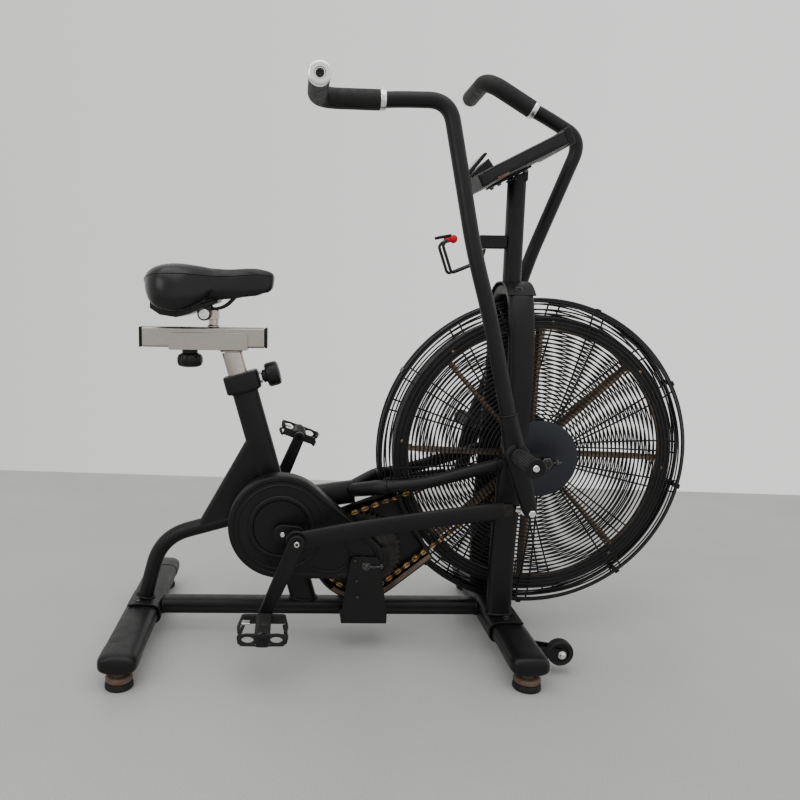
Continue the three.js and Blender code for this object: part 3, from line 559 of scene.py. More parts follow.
def soft_light(name, place, target, size, power):
    lamp = bpy.data.lights.new(name, "AREA")
    lamp.shape = "RECTANGLE"
    lamp.size, lamp.size_y = size
    lamp.energy = power
    obj = bpy.data.objects.new(name, lamp)
    bpy.context.collection.objects.link(obj)
    place = Vector(place)
    obj.matrix_world = Matrix.Translation(place) @ (Vector(target) - place).to_track_quat("-Z", "Y") \
        .to_matrix().to_4x4()


look(location=Vector((CRANK_AXIS.x + 0.0185, -1.6631, 0.7908)), lens=32.64, yaw=0.0218, pitch=0.1374,
     roll=-0.0147, shift=0.1148)
pale_floor()
studio_world()
soft_light("ceiling", (-0.3, -0.6, 3.1), (0, 0, 0.4), (3.2, 2.4), 44)
soft_light("window", (-2.6, -2.4, 2.2), (0, 0, 0.7), (1.8, 1.6), 26)

# ---- base ------------------------------------------------------------------------------


def stabiliser(name, node, x):
    """Oval cross tube with a moulded cap pushed over each end; both have the rear one's section."""
    low, high = low_high("rear_stabiliser")
    half, wide, tall = -low.y, high.x - low.x + 1, high.z - low.z + 0.5
    cap_long = 62
    body_half = half - cap_long
    outline = section(wide - 3, tall - 2.5, 48, 3.2)
    Shape().sweep([(x, -body_half, REAR_BAR.z), (x, body_half, REAR_BAR.z)], outline, side=(1, 0, 0)) \
        .make(name, COAT, replaces=(node,), bevel=0.6, sharp=50)
    rows = [(body_half - 3, 1.0), (body_half - 0.5, 1.0), (half - 26, 1.0), (half - 15, 0.985),
            (half - 7, 0.93), (half - 2.5, 0.84), (half, 0.7)]
    for side, s in SIDES:
        Shape().sweep([(x, s * y, REAR_BAR.z) for y, _ in rows], section(wide, tall, 48, 3.0),
                      side=(1, 0, 0), scale=lambda i: (rows[i][1], rows[i][1] ** 1.3)) \
            .make(f"{name}_cap_{side}", CAP_PLASTIC, bevel=1.2, sharp=40)


stabiliser("rear_bar", "rear_stabiliser", REAR_BAR.x)
stabiliser("front_bar", "front_stabiliser", FRONT_X)


def foot(node):
    """Levelling foot: rubber pad, rusty washer and threaded stem."""
    low, high = low_high(node)
    c = (low + high) / 2
    h = high.z
    base = (c.x, c.y, 0)
    Shape().lathe([(0, 0), (27, 0), (29, 2), (29, 8), (27.5, 13), (24, 15), (0, 15)], base, (0, 0, 1), 40) \
        .make(node + "_pad", GRIP_RUBBER, "frame", "rubber", (node,), sharp=30)
    stem = Shape().lathe([(0, 15), (26, 15), (27.5, 17), (27.5, 23), (24, 26), (14, 27), (14, 31), (7, 31),
                          (7, h - 0.2), (0, h - 0.2)], base, (0, 0, 1), 36)
    stem.make(node + "_washer", FOOT_RUST, "frame", "rubber", sharp=30)


for end in ("rear", "front"):
    for side, _ in SIDES:
        foot(f"{end}_{side}_foot")

beam_low, beam_high = low_high("main_beam")
beam_mid = (beam_low + beam_high) / 2


def grooved_beam():
    """Oval beam with a shallow groove pressed along each side."""
    wide, tall = beam_high.y - beam_low.y + 0.6, beam_high.z - beam_low.z + 0.6
    outline = []
    for w, h in section(wide, tall, 96, 3.2):
        dent = 1.8 * math.exp(-((h / 3.2) ** 2)) if abs(w) > wide * 0.3 else 0
        outline.append((w - math.copysign(dent, w), h))
    Shape().sweep([(beam_low.x, 0, beam_mid.z), (beam_high.x, 0, beam_mid.z)], outline) \
        .make("main_beam_tube", COAT, replaces=("main_beam",), sharp=60)


grooved_beam()


def end_bracket(node, way, bar_x, bolts_at):
    """Curved saddle plate that wraps over a stabiliser and holds the end of the beam."""
    low, high = low_high(node)
    bar_low, bar_high = low_high("rear_stabiliser")
    wide, tall = bar_high.x - bar_low.x, bar_high.z - bar_low.z
    steps = 40
    outline = []
    for gap, order in ((5.2, range(steps + 1)), (0.4, range(steps, -1, -1))):
        for k in order:
            t = math.radians(-62 + 190 * k / steps)
            c, s = math.cos(t), math.sin(t)
            outline.append((bar_x + way * math.copysign(abs(c) ** 0.667, c) * (wide / 2 + gap),
                            REAR_BAR.z + math.copysign(abs(s) ** 0.667, s) * (tall / 2 + gap)))
    Shape().prism(outline, low.y, high.y).make(node + "_plate", COAT, replaces=(node,), bevel=1.2)
    bolts = Shape()
    for x, y in bolts_at:
        bolts.bolt((x, y, high.z - 0.6), (0, 0, 1), 7, 5)
    bolts.make(node + "_bolts", BOLT_DARK, sharp=30)
    beads = Shape().weld((bar_x + way * (wide / 2 + 6.4), 0, beam_mid.z), (1, 0, 0), 48, 40, 2.4, way)
    beads.make(node + "_weld", COAT, sharp=60)


end_bracket("rear_beam_bracket", 1, REAR_BAR.x, ((-338, -37), (-341, -20)))
end_bracket("front_beam_bracket", -1, FRONT_X, ((508, -113), (508, 113)))


def transport_wheel(side):
    """Small wheel on a fork of two plates in front of the stabiliser."""
    node = f"{side}_transport_wheel"
    low, high = low_high(node)
    c = (low + high) / 2
    r = (high.z - low.z) / 2
    Shape().lathe([(r - 11, -9), (r - 3, -11), (r - 0.6, -8.5), (r, -5), (r, -1.2), (r - 1, 0), (r, 1.2),
                   (r, 5), (r - 0.6, 8.5), (r - 3, 11), (r - 11, 9)], c, seg=56) \
        .make(node + "_tyre", GRIP_RUBBER, f"{side}_wheel", "rubber", (node,), sharp=35)
    Shape().lathe([(4.4, -10), (8, -10), (9, -7), (r - 13, -6), (r - 11.2, -8), (r - 11.2, 8), (r - 13, 6),
                   (9, 7), (8, 10), (4.4, 10)], c, seg=40) \
        .make(node + "_hub", CAP_PLASTIC, f"{side}_wheel", "rubber", sharp=30)
    fork = Shape()
    root = FRONT_X + 37
    for y in (c.y - 14, c.y + 14):
        fork.prism([(root, 44), (590, 35), (c.x + 4, 35.5), (c.x + 11, 41), (c.x + 11, 53), (c.x + 4, 58.5),
                    (590, 59), (root, 66)], y - 1.5, y + 1.5)
    fork.make(f"{side}_wheel_fork", COAT, bevel=0.8)
    axle = Shape().ring(0, 4, -19, 19, c, seg=20)
    for way in (-1, 1):
        axle.bolt((c.x, c.y + way * 15.6, c.z), (0, way, 0), 6.5, 5)
    axle.make(f"{side}_wheel_axle", CHROME, sharp=30)


for side, _ in SIDES:
    transport_wheel(side)

# ---- frame -----------------------------------------------------------------------------

SEAT_FOOT = Vector((51, 0, 80))  # where the seat tube meets the beam, and the way it leans
SEAT_WAY = Vector((-148, 0, 521)).normalized()
SEAT_ACROSS = Vector((SEAT_WAY.z, 0, -SEAT_WAY.x))


def up_seat(t):
    return SEAT_FOOT + SEAT_WAY * t


def post_line(t):
    """The seat post's own line, 5 mm behind the middle of the seat tube."""
    return up_seat(t) - SEAT_ACROSS * 5


def main_frame():
    """Seat tube, bottom bracket, collar, rear, brace and upper tubes, and their weld beads."""
    Shape().sweep([up_seat(-4), up_seat(524)], section(40, 60, 48, 2.6)) \
        .make("seat_tube_oval", COAT, replaces=("seat_tube",), sharp=60)
    Shape().lathe([(12.4, -45), (24, -45), (26, -43), (26, 43), (24, 45), (12.4, 45)], CRANK) \
        .make("bottom_bracket_shell", COAT, sharp=35)
    outer, inner = section(56, 82, 64, 4.2), section(28.8, 46.2, 64, 2.6)
    collar_low, collar_top = 520, 562.5
    rows = [(collar_low, 0.93), (523, 0.99), (526, 1.0), (558, 1.0), (561, 0.985), (collar_top, 0.95)]
    across, up = Vector((0, 1, 0)), SEAT_WAY.cross(Vector((0, 1, 0)))
    loops = [[up_seat(t) + across * (w * k) + up * (h * k) for w, h in outer] for t, k in rows]
    loops += [[post_line(t) + across * w + up * h for w, h in inner] for t in (collar_top, collar_low)]
    Shape().skin(loops, closed=True).make("seat_collar", COAT, bevel=0.5, sharp=50)
    Shape().tube(bend([(-327, 0, 86), (-287.6, 0, 230.6), (-40, 0, 300.7)], 105, 20), 18, 32) \
        .make("rear_tube_round", COAT, replaces=("rear_tube",), sharp=60)
    Shape().prism([(-62.6, 511.5), (-36, 387), (-92, 283), (-208, 252)], -17, 17) \
        .make("brace_tube_oval", COAT, replaces=("brace_tube",), bevel=10, steps=6, sharp=60)
    Shape().sweep([(-20, 0, 318), (163, 0, 344.7), (165, 0, 345)], section(38, 54, 40, 2.8),
                  scale=lambda i: ((1, 1), (1, 1), (0.93, 0.95))[i]) \
        .make("upper_tube_oval", COAT, replaces=("upper_tube",), sharp=45)
    beads = Shape()
    beads.weld(up_seat(519.5), SEAT_WAY, 42, 62, 2.4, 3)
    beads.weld((51 - 1, 0, 84), (0, 0, 1), 42, 64, 2.6, 4)
    beads.weld((-327, 0, 85.5), (0.2, 0, 0.98), 40, 40, 2.6, 5)
    beads.make("frame_welds", COAT, sharp=60)


main_frame()

# The arch over the fan, from the near foot to the far one
ARCH = [(498, -84, 84), (497, -89, 243), (517, -94, 609), (516, -84, 752), (518, -52, 821), (518, 52, 821),
        (516, 84, 752), (517, 94, 609), (497, 89, 243), (498, 84, 84)]


def fan_supports():
    """Arch over the fan, its two stays, and the mast with the cap strap and the bottle arm."""
    Shape().sweep(bend(ARCH, 70, 12), section(30, 55, 48, 3.4), side=(0, 1, 0.01)) \
        .make("fan_arch_oval", COAT, replaces=("fan_arch",), sharp=60)
    beads = Shape()
    for side, s in SIDES:
        stay = bend([(160, s * 13, 351), (225, s * 62, 371), (314, s * 80, 385), (390, s * 86, 408),
                     (486, s * 92, 435)], 40, 10)
        tube = Shape().tube(stay, 14, 28)
        sleeve = bend([(164, s * 16, 352), (225, s * 62, 371), (268, s * 70, 377)], 40, 10)
        last = len(sleeve) - 4
        tube.tube(sleeve[:last + 1], 17, 28, scale=lambda i: ((0.94, 0.94) if i in (0, last) else (1, 1)))
        tube.make(f"{side}_stay_tube", COAT, replaces=(f"{side}_fan_stay",), sharp=60)
        beads.weld((478, s * 91, 432.6), (0.95, s * 0.06, 0.27), 30, 30, 2.2, 9 + s)
        beads.weld((498, s * 84, 84.5), (0, 0, 1), 33, 58, 2.8, 12 + s)
    beads.make("arch_welds", COAT, sharp=60)
    Shape().sweep([(514, 0, 822), (514, 0, 1066)], section(40, 40, 40, 2.5)) \
        .make("mast_tube", COAT, replaces=("mast",), sharp=60)
    Shape().prism([(494.4, 1058), (533.6, 1058), (533.6, 1082.5), (494.4, 1062.5)], -19.6, 19.6) \
        .make("mast_top_cut", COAT, bevel=2)
    Shape().box(433, 496, -15, 15, 911, 940).make("bottle_arm", COAT, bevel=3.5, steps=3)
    flat, crown_z, strap_r = 7.4, 751, 86.6
    path = []
    for degrees in range(-50, 51, 10):
        a = math.radians(degrees)
        y = strap_r * math.sin(a) + flat * ((degrees > 0) - (degrees < 0))
        path.append((517, y, crown_z + strap_r * math.cos(a)))
    Shape().sweep(path, [(-1.6, -31), (1.6, -31), (1.6, 31), (-1.6, 31)], side=(0, 0.3, 1)) \
        .make("arch_cap_strap", COAT, bevel=0.8)
    screws = Shape()
    for s in (-1, 1):
        a = math.radians(s * 37)
        screws.bolt((514, s * flat + 88 * math.sin(a), crown_z + 88 * math.cos(a)),
                    (0, math.sin(a), math.cos(a)), 6, 4)
    screws.make("arch_cap_bolts", BOLT_DARK, sharp=30)


fan_supports()

# ---- seat ------------------------------------------------------------------------------


def rounded(x0, x1, z0, z1, low_r, top_r, steps=6):
    """Rectangle [x, z] outline with one radius for the lower corners and one for the upper."""
    out = []
    for cx, cz, r, start in ((x0 + low_r, z0 + low_r, low_r, 180), (x1 - low_r, z0 + low_r, low_r, 270),
                             (x1 - top_r, z1 - top_r, top_r, 0), (x0 + top_r, z1 - top_r, top_r, 90)):
        for k in range(steps + 1):
            t = math.radians(start + 90 * k / steps)
            out.append((cx + r * math.cos(t), cz + r * math.sin(t)))
    return out


STEM_X = -163
TILT = (-181, 756)  # x, z of the saddle clamp's bolt


def seat():
    """Post, carriage, slider, stem, rails and the clamp that the saddle tilts in."""
    Shape().sweep([post_line(331), post_line(617)], section(28, 45.4, 48, 2.6)) \
        .make("seat_post_tube", STEEL_Z, "seat_post", "steel", ("seat_post",), sharp=60)
    low, high = low_high("seat_carriage")
    side_wall = 3.4
    carriage = Shape().box(low.x + 2, high.x - 2, low.y + 1, high.y - 1, low.z, low.z + 4)
    for y0, y1 in ((low.y, low.y + side_wall), (high.y - side_wall, high.y)):
        carriage.prism(rounded(low.x, high.x, low.z, high.z, 3, 11), y0, y1)
    carriage.make("seat_carriage_channel", STEEL_X, "seat_post", "steel", ("seat_carriage",), bevel=0.9)
    beads = Shape().weld(post_line(616.5), (0, 0, 1), 30, 48, 2.0, 20)
    beads.make("post_weld", STEEL_Z, "seat_post", "steel", sharp=60)

    low, high = low_high("seat_slider")
    wide = high.y - low.y
    Shape().box(low.x + 5, high.x - 5, -wide / 2, wide / 2, low.z, high.z) \
        .make("slider_tube", STEEL_X, "seat_slider", "steel", ("seat_slider",), bevel=5, steps=4)
    for end, x0, x1 in (("rear", low.x, low.x + 5.5), ("front", high.x - 5.5, high.x)):
        Shape().box(x0, x1, -wide / 2 - 0.2, wide / 2 + 0.2, low.z - 0.2, high.z + 0.2) \
            .make(f"slider_{end}_cap", CAP_PLASTIC, "seat_slider", "plastic", bevel=1.8, steps=3)

    stem_low, _ = low_high("saddle_stem")
    stem = Shape().lathe([(0, stem_low.z), (14, stem_low.z), (14, stem_low.z + 3), (11, stem_low.z + 5),
                          (11, 745), (0, 745)], (STEM_X, 0, 0), (0, 0, 1), 36)
    stem.prism(rounded(-193, -150, 743, 766, 3, 8), -16.8, 16.8)
    stem.make("saddle_stem_turned", STEEL_Z, "seat_slider", "steel", ("saddle_stem",), bevel=1.0)

    rail = [(-268, 30, 776), (-225, 25, 766), (-140, 24, 768), (-108, 14, 800)]
    loop = rail + [(x, -y, z) for x, y, z in reversed(rail)]
    Shape().tube(bend(loop, 22, 8), 3.5, 14, side=(0, 0, 1)) \
        .make("saddle_wire_rails", WIRE_COAT, "saddle", "steel", ("saddle_rails",), sharp=60)
    clamp, eyes = Shape(), Shape()
    x, z = TILT
    for s in (-1, 1):
        y0, y1 = sorted((s * 17.4, s * 33))
        clamp.prism(rounded(x - 15, x + 15, z - 15, z + 18, 14.5, 4), y0, y1)
        eyes.lathe([(0, 0), (12, 0), (12, 1.2), (11, 2), (7, 2.2), (0, 2.2)],
                   (x, s * 32.6, z), (0, s, 0), 28)
        eyes.cap_screw((x, s * 34.6, z), (0, s, 0), 5.5, 3.5)
    clamp.make("saddle_clamp_halves", GEAR_METAL, "saddle", "steel", bevel=1.0)
    eyes.make("saddle_clamp_eyes", CHROME, "saddle", "steel", sharp=35)


seat()

# Saddle stations from tail to nose: x, half width, top, low edge
SADDLE_ROWS = [(-315, 34, 829, 806), (-308, 66, 844, 790), (-294, 98, 855, 772), (-270, 117, 863, 758),
               (-235, 118, 864, 753), (-205, 104, 861, 762), (-178, 82, 857, 775), (-149, 60, 852.5, 786),
               (-117, 45, 852.5, 789), (-84, 39, 856, 793), (-56, 37, 856, 796), (-36, 33, 853, 800),
               (-25, 27, 849, 806)]


def inflate(obj, cap, pressure=4.0, frames=20, voxel=0.005):
    """Puffs a pad with a short cloth simulation and bakes it in, moving no point more than cap."""
    scene = bpy.context.scene
    remesh = obj.modifiers.new("even", "REMESH")
    remesh.mode = "VOXEL"
    remesh.voxel_size = voxel
    baked = bpy.data.meshes.new_from_object(obj.evaluated_get(bpy.context.evaluated_depsgraph_get()))
    obj.modifiers.clear()
    obj.data = baked
    start = [v.co.copy() for v in baked.vertices]
    cloth = obj.modifiers.new("fill", "CLOTH")
    cloth.settings.use_pressure = True
    cloth.settings.uniform_pressure_force = pressure
    cloth.settings.tension_stiffness = 25
    cloth.settings.compression_stiffness = 25
    cloth.settings.bending_stiffness = 4
    cloth.settings.effector_weights.gravity = 0
    cloth.point_cache.frame_start = 1
    cloth.point_cache.frame_end = frames
    for frame_now in range(1, frames + 1):
        scene.frame_set(frame_now)
    puffed = obj.evaluated_get(bpy.context.evaluated_depsgraph_get()).data
    moved = [v.co.copy() for v in puffed.vertices]
    obj.modifiers.clear()
    drift = sum((b - a for a, b in zip(start, moved)), Vector()) / len(start)
    for vertex, before, after in zip(baked.vertices, start, moved):
        step = after - before - drift
        if step.length > cap:
            step *= cap / step.length
        vertex.co = before + step
    scene.frame_set(1)
    baked.polygons.foreach_set("use_smooth", [True] * len(baked.polygons))


def saddle():
    """Padded top that rises at the back, a sewn edge line and a hard base under it."""
    top_half = [(0.25, 0.985), (0.5, 1.0), (0.72, 0.965), (0.9, 0.84), (0.985, 0.60), (1.0, 0.34)]
    low_half = [(0.95, 0.12), (0.86, 0.0), (0.5, 0.18)]
    half = [(-u, v) for u, v in top_half[::-1]] + [(0, 0.965)] + top_half + low_half + [(0, 0.24)]
    half += [(-u, v) for u, v in low_half[::-1]]
    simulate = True
    inset = 1 if simulate else 0
    middle_x, half_long = -170, 150
    loops = []
    for x, w, top, low in [(-317, 4, 826, 816)] + SADDLE_ROWS + [(-21, 14, 842, 814)]:
        w, top, low = max(3, w - inset), top - inset * 0.8, low + inset * 0.5
        x = middle_x + (x - middle_x) * (1 - inset / half_long)
        loops.append([(x, u * w, low + (top - low) * v) for u, v in half])
    pad = Shape().skin(loops).make("saddle_pad", VINYL, "saddle", "vinyl", ("saddle",), sharp=180, subsurf=2)
    if simulate:
        inflate(pad, cap=0.004)
        pad.data.materials.clear()
        pad.data.materials.append(VINYL)
        smooth = pad.modifiers.new("smooth", "SUBSURF")
        smooth.levels = smooth.render_levels = 1
    skin = pad.evaluated_get(bpy.context.evaluated_depsgraph_get())
    seam, base = [], Shape()
    for s in (-1, 1):
        line = [(x, s * w * 0.925, low + (top - low) * 0.835) for x, w, top, low in SADDLE_ROWS]
        seam.append(line if s < 0 else line[::-1])
    on_skin = []
    for point in bend(seam[0] + seam[1], 14, 4):
        _, spot, normal, _ = skin.closest_point_on_mesh(metres(point))
        on_skin.append(mm(spot + normal * 0.0002))
    Shape().tube(on_skin, 1.3, 10, side=(0, 0, 1), closed=True) \
        .make("saddle_piping", VINYL, "saddle", "vinyl", sharp=60)
    shell = []
    for x, w, _, z in SADDLE_ROWS[2:8]:
        w *= 0.7
        shell.append([(x, -w, z - 4), (x, w, z - 4), (x, w, z + 16), (x, -w, z + 16)])
    for pair in zip(shell, shell[1:]):
        base.skin(pair)
    base.make("saddle_base", CAP_PLASTIC, "saddle", "vinyl", bevel=0.8)


saddle()


def knobs():
    """The pull pin's mushroom grip with its nut, and the lobed clamp knob under the slider."""
    at = up_seat(542)
    knob = Shape().ring(0, 9, 41.4, 49, at, SEAT_ACROSS, 28)
    knob.lathe([(0, 48.5), (13, 48.5), (15, 50), (15, 57), (24, 57.5), (27, 60), (28, 65), (28, 80),
                (26, 86), (21, 88.6), (10, 88.2), (8, 86.6), (0, 86.6)], at, SEAT_ACROSS, 40)
    knob.make("post_pin_grip", CAP_PLASTIC, "post_pin", "plastic", ("post_pin_knob",), sharp=40)
    Shape().ring(9.1, 14, 41.4, 47, at, SEAT_ACROSS, 6) \
        .make("post_pin_nut", RING_METAL, bevel=0.6)
    low, high = low_high("slider_knob")
    c = (low + high) / 2
    screw = Shape().lathe([(0, 664), (18, 664), (18, high.z - 1), (16.5, high.z), (0, high.z)], (c.x, 0, 0),
                          (0, 0, 1), 36)
    r, tall, lobes = 29.5, 32, 8
    rows = [(0, 0), (0.62, 0), (0.9, 0.1), (1, 0.35), (1, 0.62), (0.9, 0.86), (0.6, 1), (0, 1)]
    screw.lathe([(r * k, tall * h) for k, h in rows], (c.x, 0, low.z), (0, 0, 1), lobes * 12, lobes)
    screw.make("slider_knob_lobed", CAP_PLASTIC, "slider_knob", "plastic", ("slider_knob",), sharp=40)


knobs()

# ---- handles, pegs and rods --------------------------------------------------------------

HANDLE = {"top": 1195, "y": 130, "x": 61, "end": 288}  # grip height, inner Y, rear X and outer Y


def handle(side, s):
    """Swing arm with its leg, grip, clamp ring and end cap, and the bolt that the rod end turns on."""
    body = f"{side}_handle"
    top, y, end_x, end_y = HANDLE["top"], HANDLE["y"], HANDLE["x"], HANDLE["end"]
    arm = bend([(PIVOT.x, -Y_ARM, PIVOT.z + 18), (466, -Y_ARM, 560), (420, -178, 763), (384, -168, 892),
                (330, -y, top), (230, -y, top), (186, -y, top - 2)], 78, 14)
    Shape().tube(arm, 16, 32).placed(s).make(f"{side}_arm_tube", COAT, body, "coat", (f"{side}_handle_arm",),
                                            sharp=60)
    leg = Shape().sweep([(PIVOT.x, -Y_ARM, PIVOT.z - 4), (480, -Y_ARM, 503), (466, -Y_ARM, 558)],
                        section(28, 44, 36, 2.4), scale=lambda i: ((1, 1), (0.99, 0.97), (0.98, 0.82))[i])
    rows = [(PIVOT.x, PIVOT.z + 6, 27, 52), (491, 462, 28, 50), (504, 418, 28, 41), (516, 377, 28, 34),
            (521, 360, 26, 32), (524.5, 348, 22, 26)]
    leg.sweep([(x, -Y_ARM, z) for x, z, *_ in rows], section(1, 1, 40, 2.6), scale=lambda i: rows[i][2:])
    leg.lathe([(0, -15), (24, -15), (26, -13), (26, 13), (24, 15), (0, 15)], (PIVOT.x, -Y_ARM, PIVOT.z))
    leg.placed(s).make(f"{side}_arm_leg", COAT, body, "coat", sharp=50)
    bead = Shape().weld((466, -Y_ARM, 559), (-0.22, 0.04, 0.97), 32, 36, 2.2, 30 + s)
    bead.placed(s).make(f"{side}_arm_weld", COAT, body, "coat", sharp=60)
    grip_line = bend([(188, -y, top - 2), (end_x, -y, top), (end_x, -end_y + 6, top)], 46, 14)
    Shape().tube(grip_line, 20.4, 36).placed(s) \
        .make(f"{side}_grip_sleeve", GRIP_RUBBER, body, "rubber", (f"{side}_grip",), sharp=60)
    ring = Shape().lathe([(16, -5.5), (21, -5.5), (21.6, -4.5), (21.6, 4.5), (21, 5.5), (16, 5.5)],
                         (194, -y, top - 1.8), (1, 0, 0.02), 40)
    ring.cap_screw((194, -y, top + 19.4), (0, 0, 1), 3.2, 2.2)
    ring.placed(s).make(f"{side}_grip_clamp_ring", RING_METAL, body, "bright", sharp=35)
    cap = Shape().lathe([(0, -4), (21.5, -4), (22, -3), (22, 5), (20.5, 6.5), (17, 7.2), (11, 7), (10, 5.5),
                         (0, 5.5)], (end_x, -end_y, top), (0, -1, 0), 44)
    cap.placed(s).make(f"{side}_grip_end_cap", RING_METAL, body, "bright", sharp=35)
    bolt = Shape().cap_screw((end_x, -end_y - 5.5, top), (0, -1, 0), 8, 3.4)
    bolt.placed(s).make(f"{side}_grip_end_bolt", GEAR_METAL, body, "bright", sharp=30)
    low_bolt = Shape().bolt((ROD_END.x, -Y_ARM - 12.4, ROD_END.z), (0, -1, 0), 8, 5, washer=False)
    low_bolt.ring(0, 7, -14, 6, (ROD_END.x, -Y_ARM + 13, ROD_END.z), (0, -1, 0), 24)
    low_bolt.placed(s).make(f"{side}_rod_end_bolt", CHROME, f"{side}_rod", "coat", sharp=30)


def foot_peg(side, s):
    """Ribbed rubber peg on the handle's pivot, with an end flange and its bolt."""
    low, high = low_high(f"{side}_foot_peg")
    end = max(abs(low.y), abs(high.y))
    outline = []
    ribs, points_each = 22, 6
    for k in range(ribs * points_each):
        t = 2 * math.pi * k / (ribs * points_each)
        r = 17 - (1.6 if k % points_each in (0, 1) else 0)
        outline.append((r * math.cos(t), r * math.sin(t)))
    Shape().sweep([(PIVOT.x, s * y, PIVOT.z) for y in (205, end - 8)], outline, side=(1, 0, 0)) \
        .make(f"{side}_peg_ribbed", PEG_RUBBER, "frame", "rubber", (f"{side}_foot_peg",), sharp=25)
    trim = Shape().lathe([(0, end - 9), (19, end - 9), (20, end - 7.5), (20, end - 2), (18.5, end - 0.5),
                          (9, end - 1), (8, end - 2.5), (0, end - 2.5)], PIVOT, (0, s, 0), 44)
    trim.lathe([(0, 108), (12, 108), (12, 203), (18.5, 203.4), (18.5, 206), (0, 206)], PIVOT,
               (0, s, 0), 40)
    trim.make(f"{side}_peg_flanges", CAP_PLASTIC, "frame", "rubber", sharp=30)
    Shape().cap_screw((PIVOT.x, s * (end - 3), PIVOT.z), (0, s, 0), 7, 3) \
        .make(f"{side}_peg_bolt", CHROME, "frame", "bright", sharp=30)


def rod_piece(side, s):
    """Connecting rod: oval bar, clevis block and a short bright rod end at the arm."""
    start = Vector((THROW, -Y_ROD, CRANK.z))
    end = Vector((ROD_END.x, -Y_ROD, ROD_END.z))
    way = (end - start).normalized()
    rise = Vector((-way.z, 0, way.x))
    length = (end - start).length

    def at(d):
        bow = 5 * math.sin(math.pi * max(0, min(1, d / length)))
        return start + way * d + rise * bow

    stations = [6, 14] + [30 + k * (length - 82) / 12 for k in range(13)] + [length - 48]
    bar = Shape().sweep([at(d) for d in stations], section(16, 38, 40, 2.7),
                        scale=lambda i: (0.96, 0.98) if i in (0, len(stations) - 1) else (1, 1))
    bar.lathe([(9.5, -8), (21, -8), (23, -6), (23, 6), (21, 8), (9.5, 8)], start, seg=48)
    block = Shape().sweep([at(length - 50), at(length - 47), at(length - 26), at(length - 21)],
                          section(16.5, 31, 24, 7),
                          scale=lambda i: ((0.92, 0.94), (1, 1), (1, 1), (0.8, 0.72))[i])
    shank = Shape().tube([start + way * (length - 30), start + way * (length - 12)], 7.6, 24)
    shank.lathe([(7.5, -6), (15, -6), (16, -5), (16, 5), (15, 6), (7.5, 6)], end, seg=40)
    rest_tilt = math.atan2(end.z - start.z, end.x - start.x)
    lever = math.hypot(ROD_END.x - PIVOT.x, ROD_END.z - PIVOT.z)
    rest = math.atan2(ROD_END.x - PIVOT.x, PIVOT.z - ROD_END.z) - SWING
    far_x, far_z = PIVOT.x + lever * math.sin(rest), PIVOT.z - lever * math.cos(rest)
    left_tilt = math.atan2(far_z - CRANK.z, far_x + THROW)
    for shape, name, mat, reps in ((bar, "rod_bar", COAT, (f"{side}_connecting_rod",)),
                                   (block, "rod_block", GEAR_METAL, ()), (shank, "rod_end", RING_METAL, ())):
        if s > 0:
            shape.mirrored().turned(Matrix.Rotation(rest_tilt - left_tilt, 3, "Y"), (THROW, 0, CRANK.z))
            shape.verts = [v - Vector((2 * THROW, 0, 0)) for v in shape.verts]
        shape.make(f"{side}_{name}", mat, f"{side}_rod", "coat", reps, sharp=40,
                   bevel=1.5 if name == "rod_block" else 0)


for side, s in SIDES:
    handle(side, s)
    foot_peg(side, s)
    rod_piece(side, s)

# ---- cranks and pedals -------------------------------------------------------------------


def crank_side(side, s):
    """Inner web, crank pin, pedal arm and bolts on one side."""
    pin = Vector((-s * THROW, 0, CRANK.z))
    tip = Vector((s * PEDAL_R * math.sin(PEDAL_LEAN), 0, CRANK.z + s * PEDAL_R * math.cos(PEDAL_LEAN)))
    web = Shape().prism(belt(CRANK, 21, pin, 18, 80), s * 104, s * 118)
    web.make(f"{side}_web_forged", COAT, "crank", "coat", (f"{side}_crank_web",), bevel=2.4, steps=3)
    post = Shape().lathe([(0, 117), (13, 117), (13, 149), (9, 149.5), (9, 186.5), (0, 186.5)],
                         (pin.x, 0, pin.z), (0, s, 0), 32)
    post.make(f"{side}_crank_pin", GEAR_METAL, "crank", "coat", sharp=35)
    arm = Shape().prism(belt(pin, 18, tip, 14, 80), s * 170, s * 184)
    arm.make(f"{side}_arm_forged", COAT, "crank", "coat", (f"{side}_pedal_arm",), bevel=3.2, steps=4)
    nuts = Shape().cap_screw((pin.x, s * 184, pin.z), (0, s, 0), 6.5, 4)
    nuts.bolt((0, s * 117.5, CRANK.z), (0, s, 0), 6, 4, washer=False)
    nuts.make(f"{side}_crank_bolts", CHROME, "crank", "steel", sharp=30)
    pedal(side, s, tip)


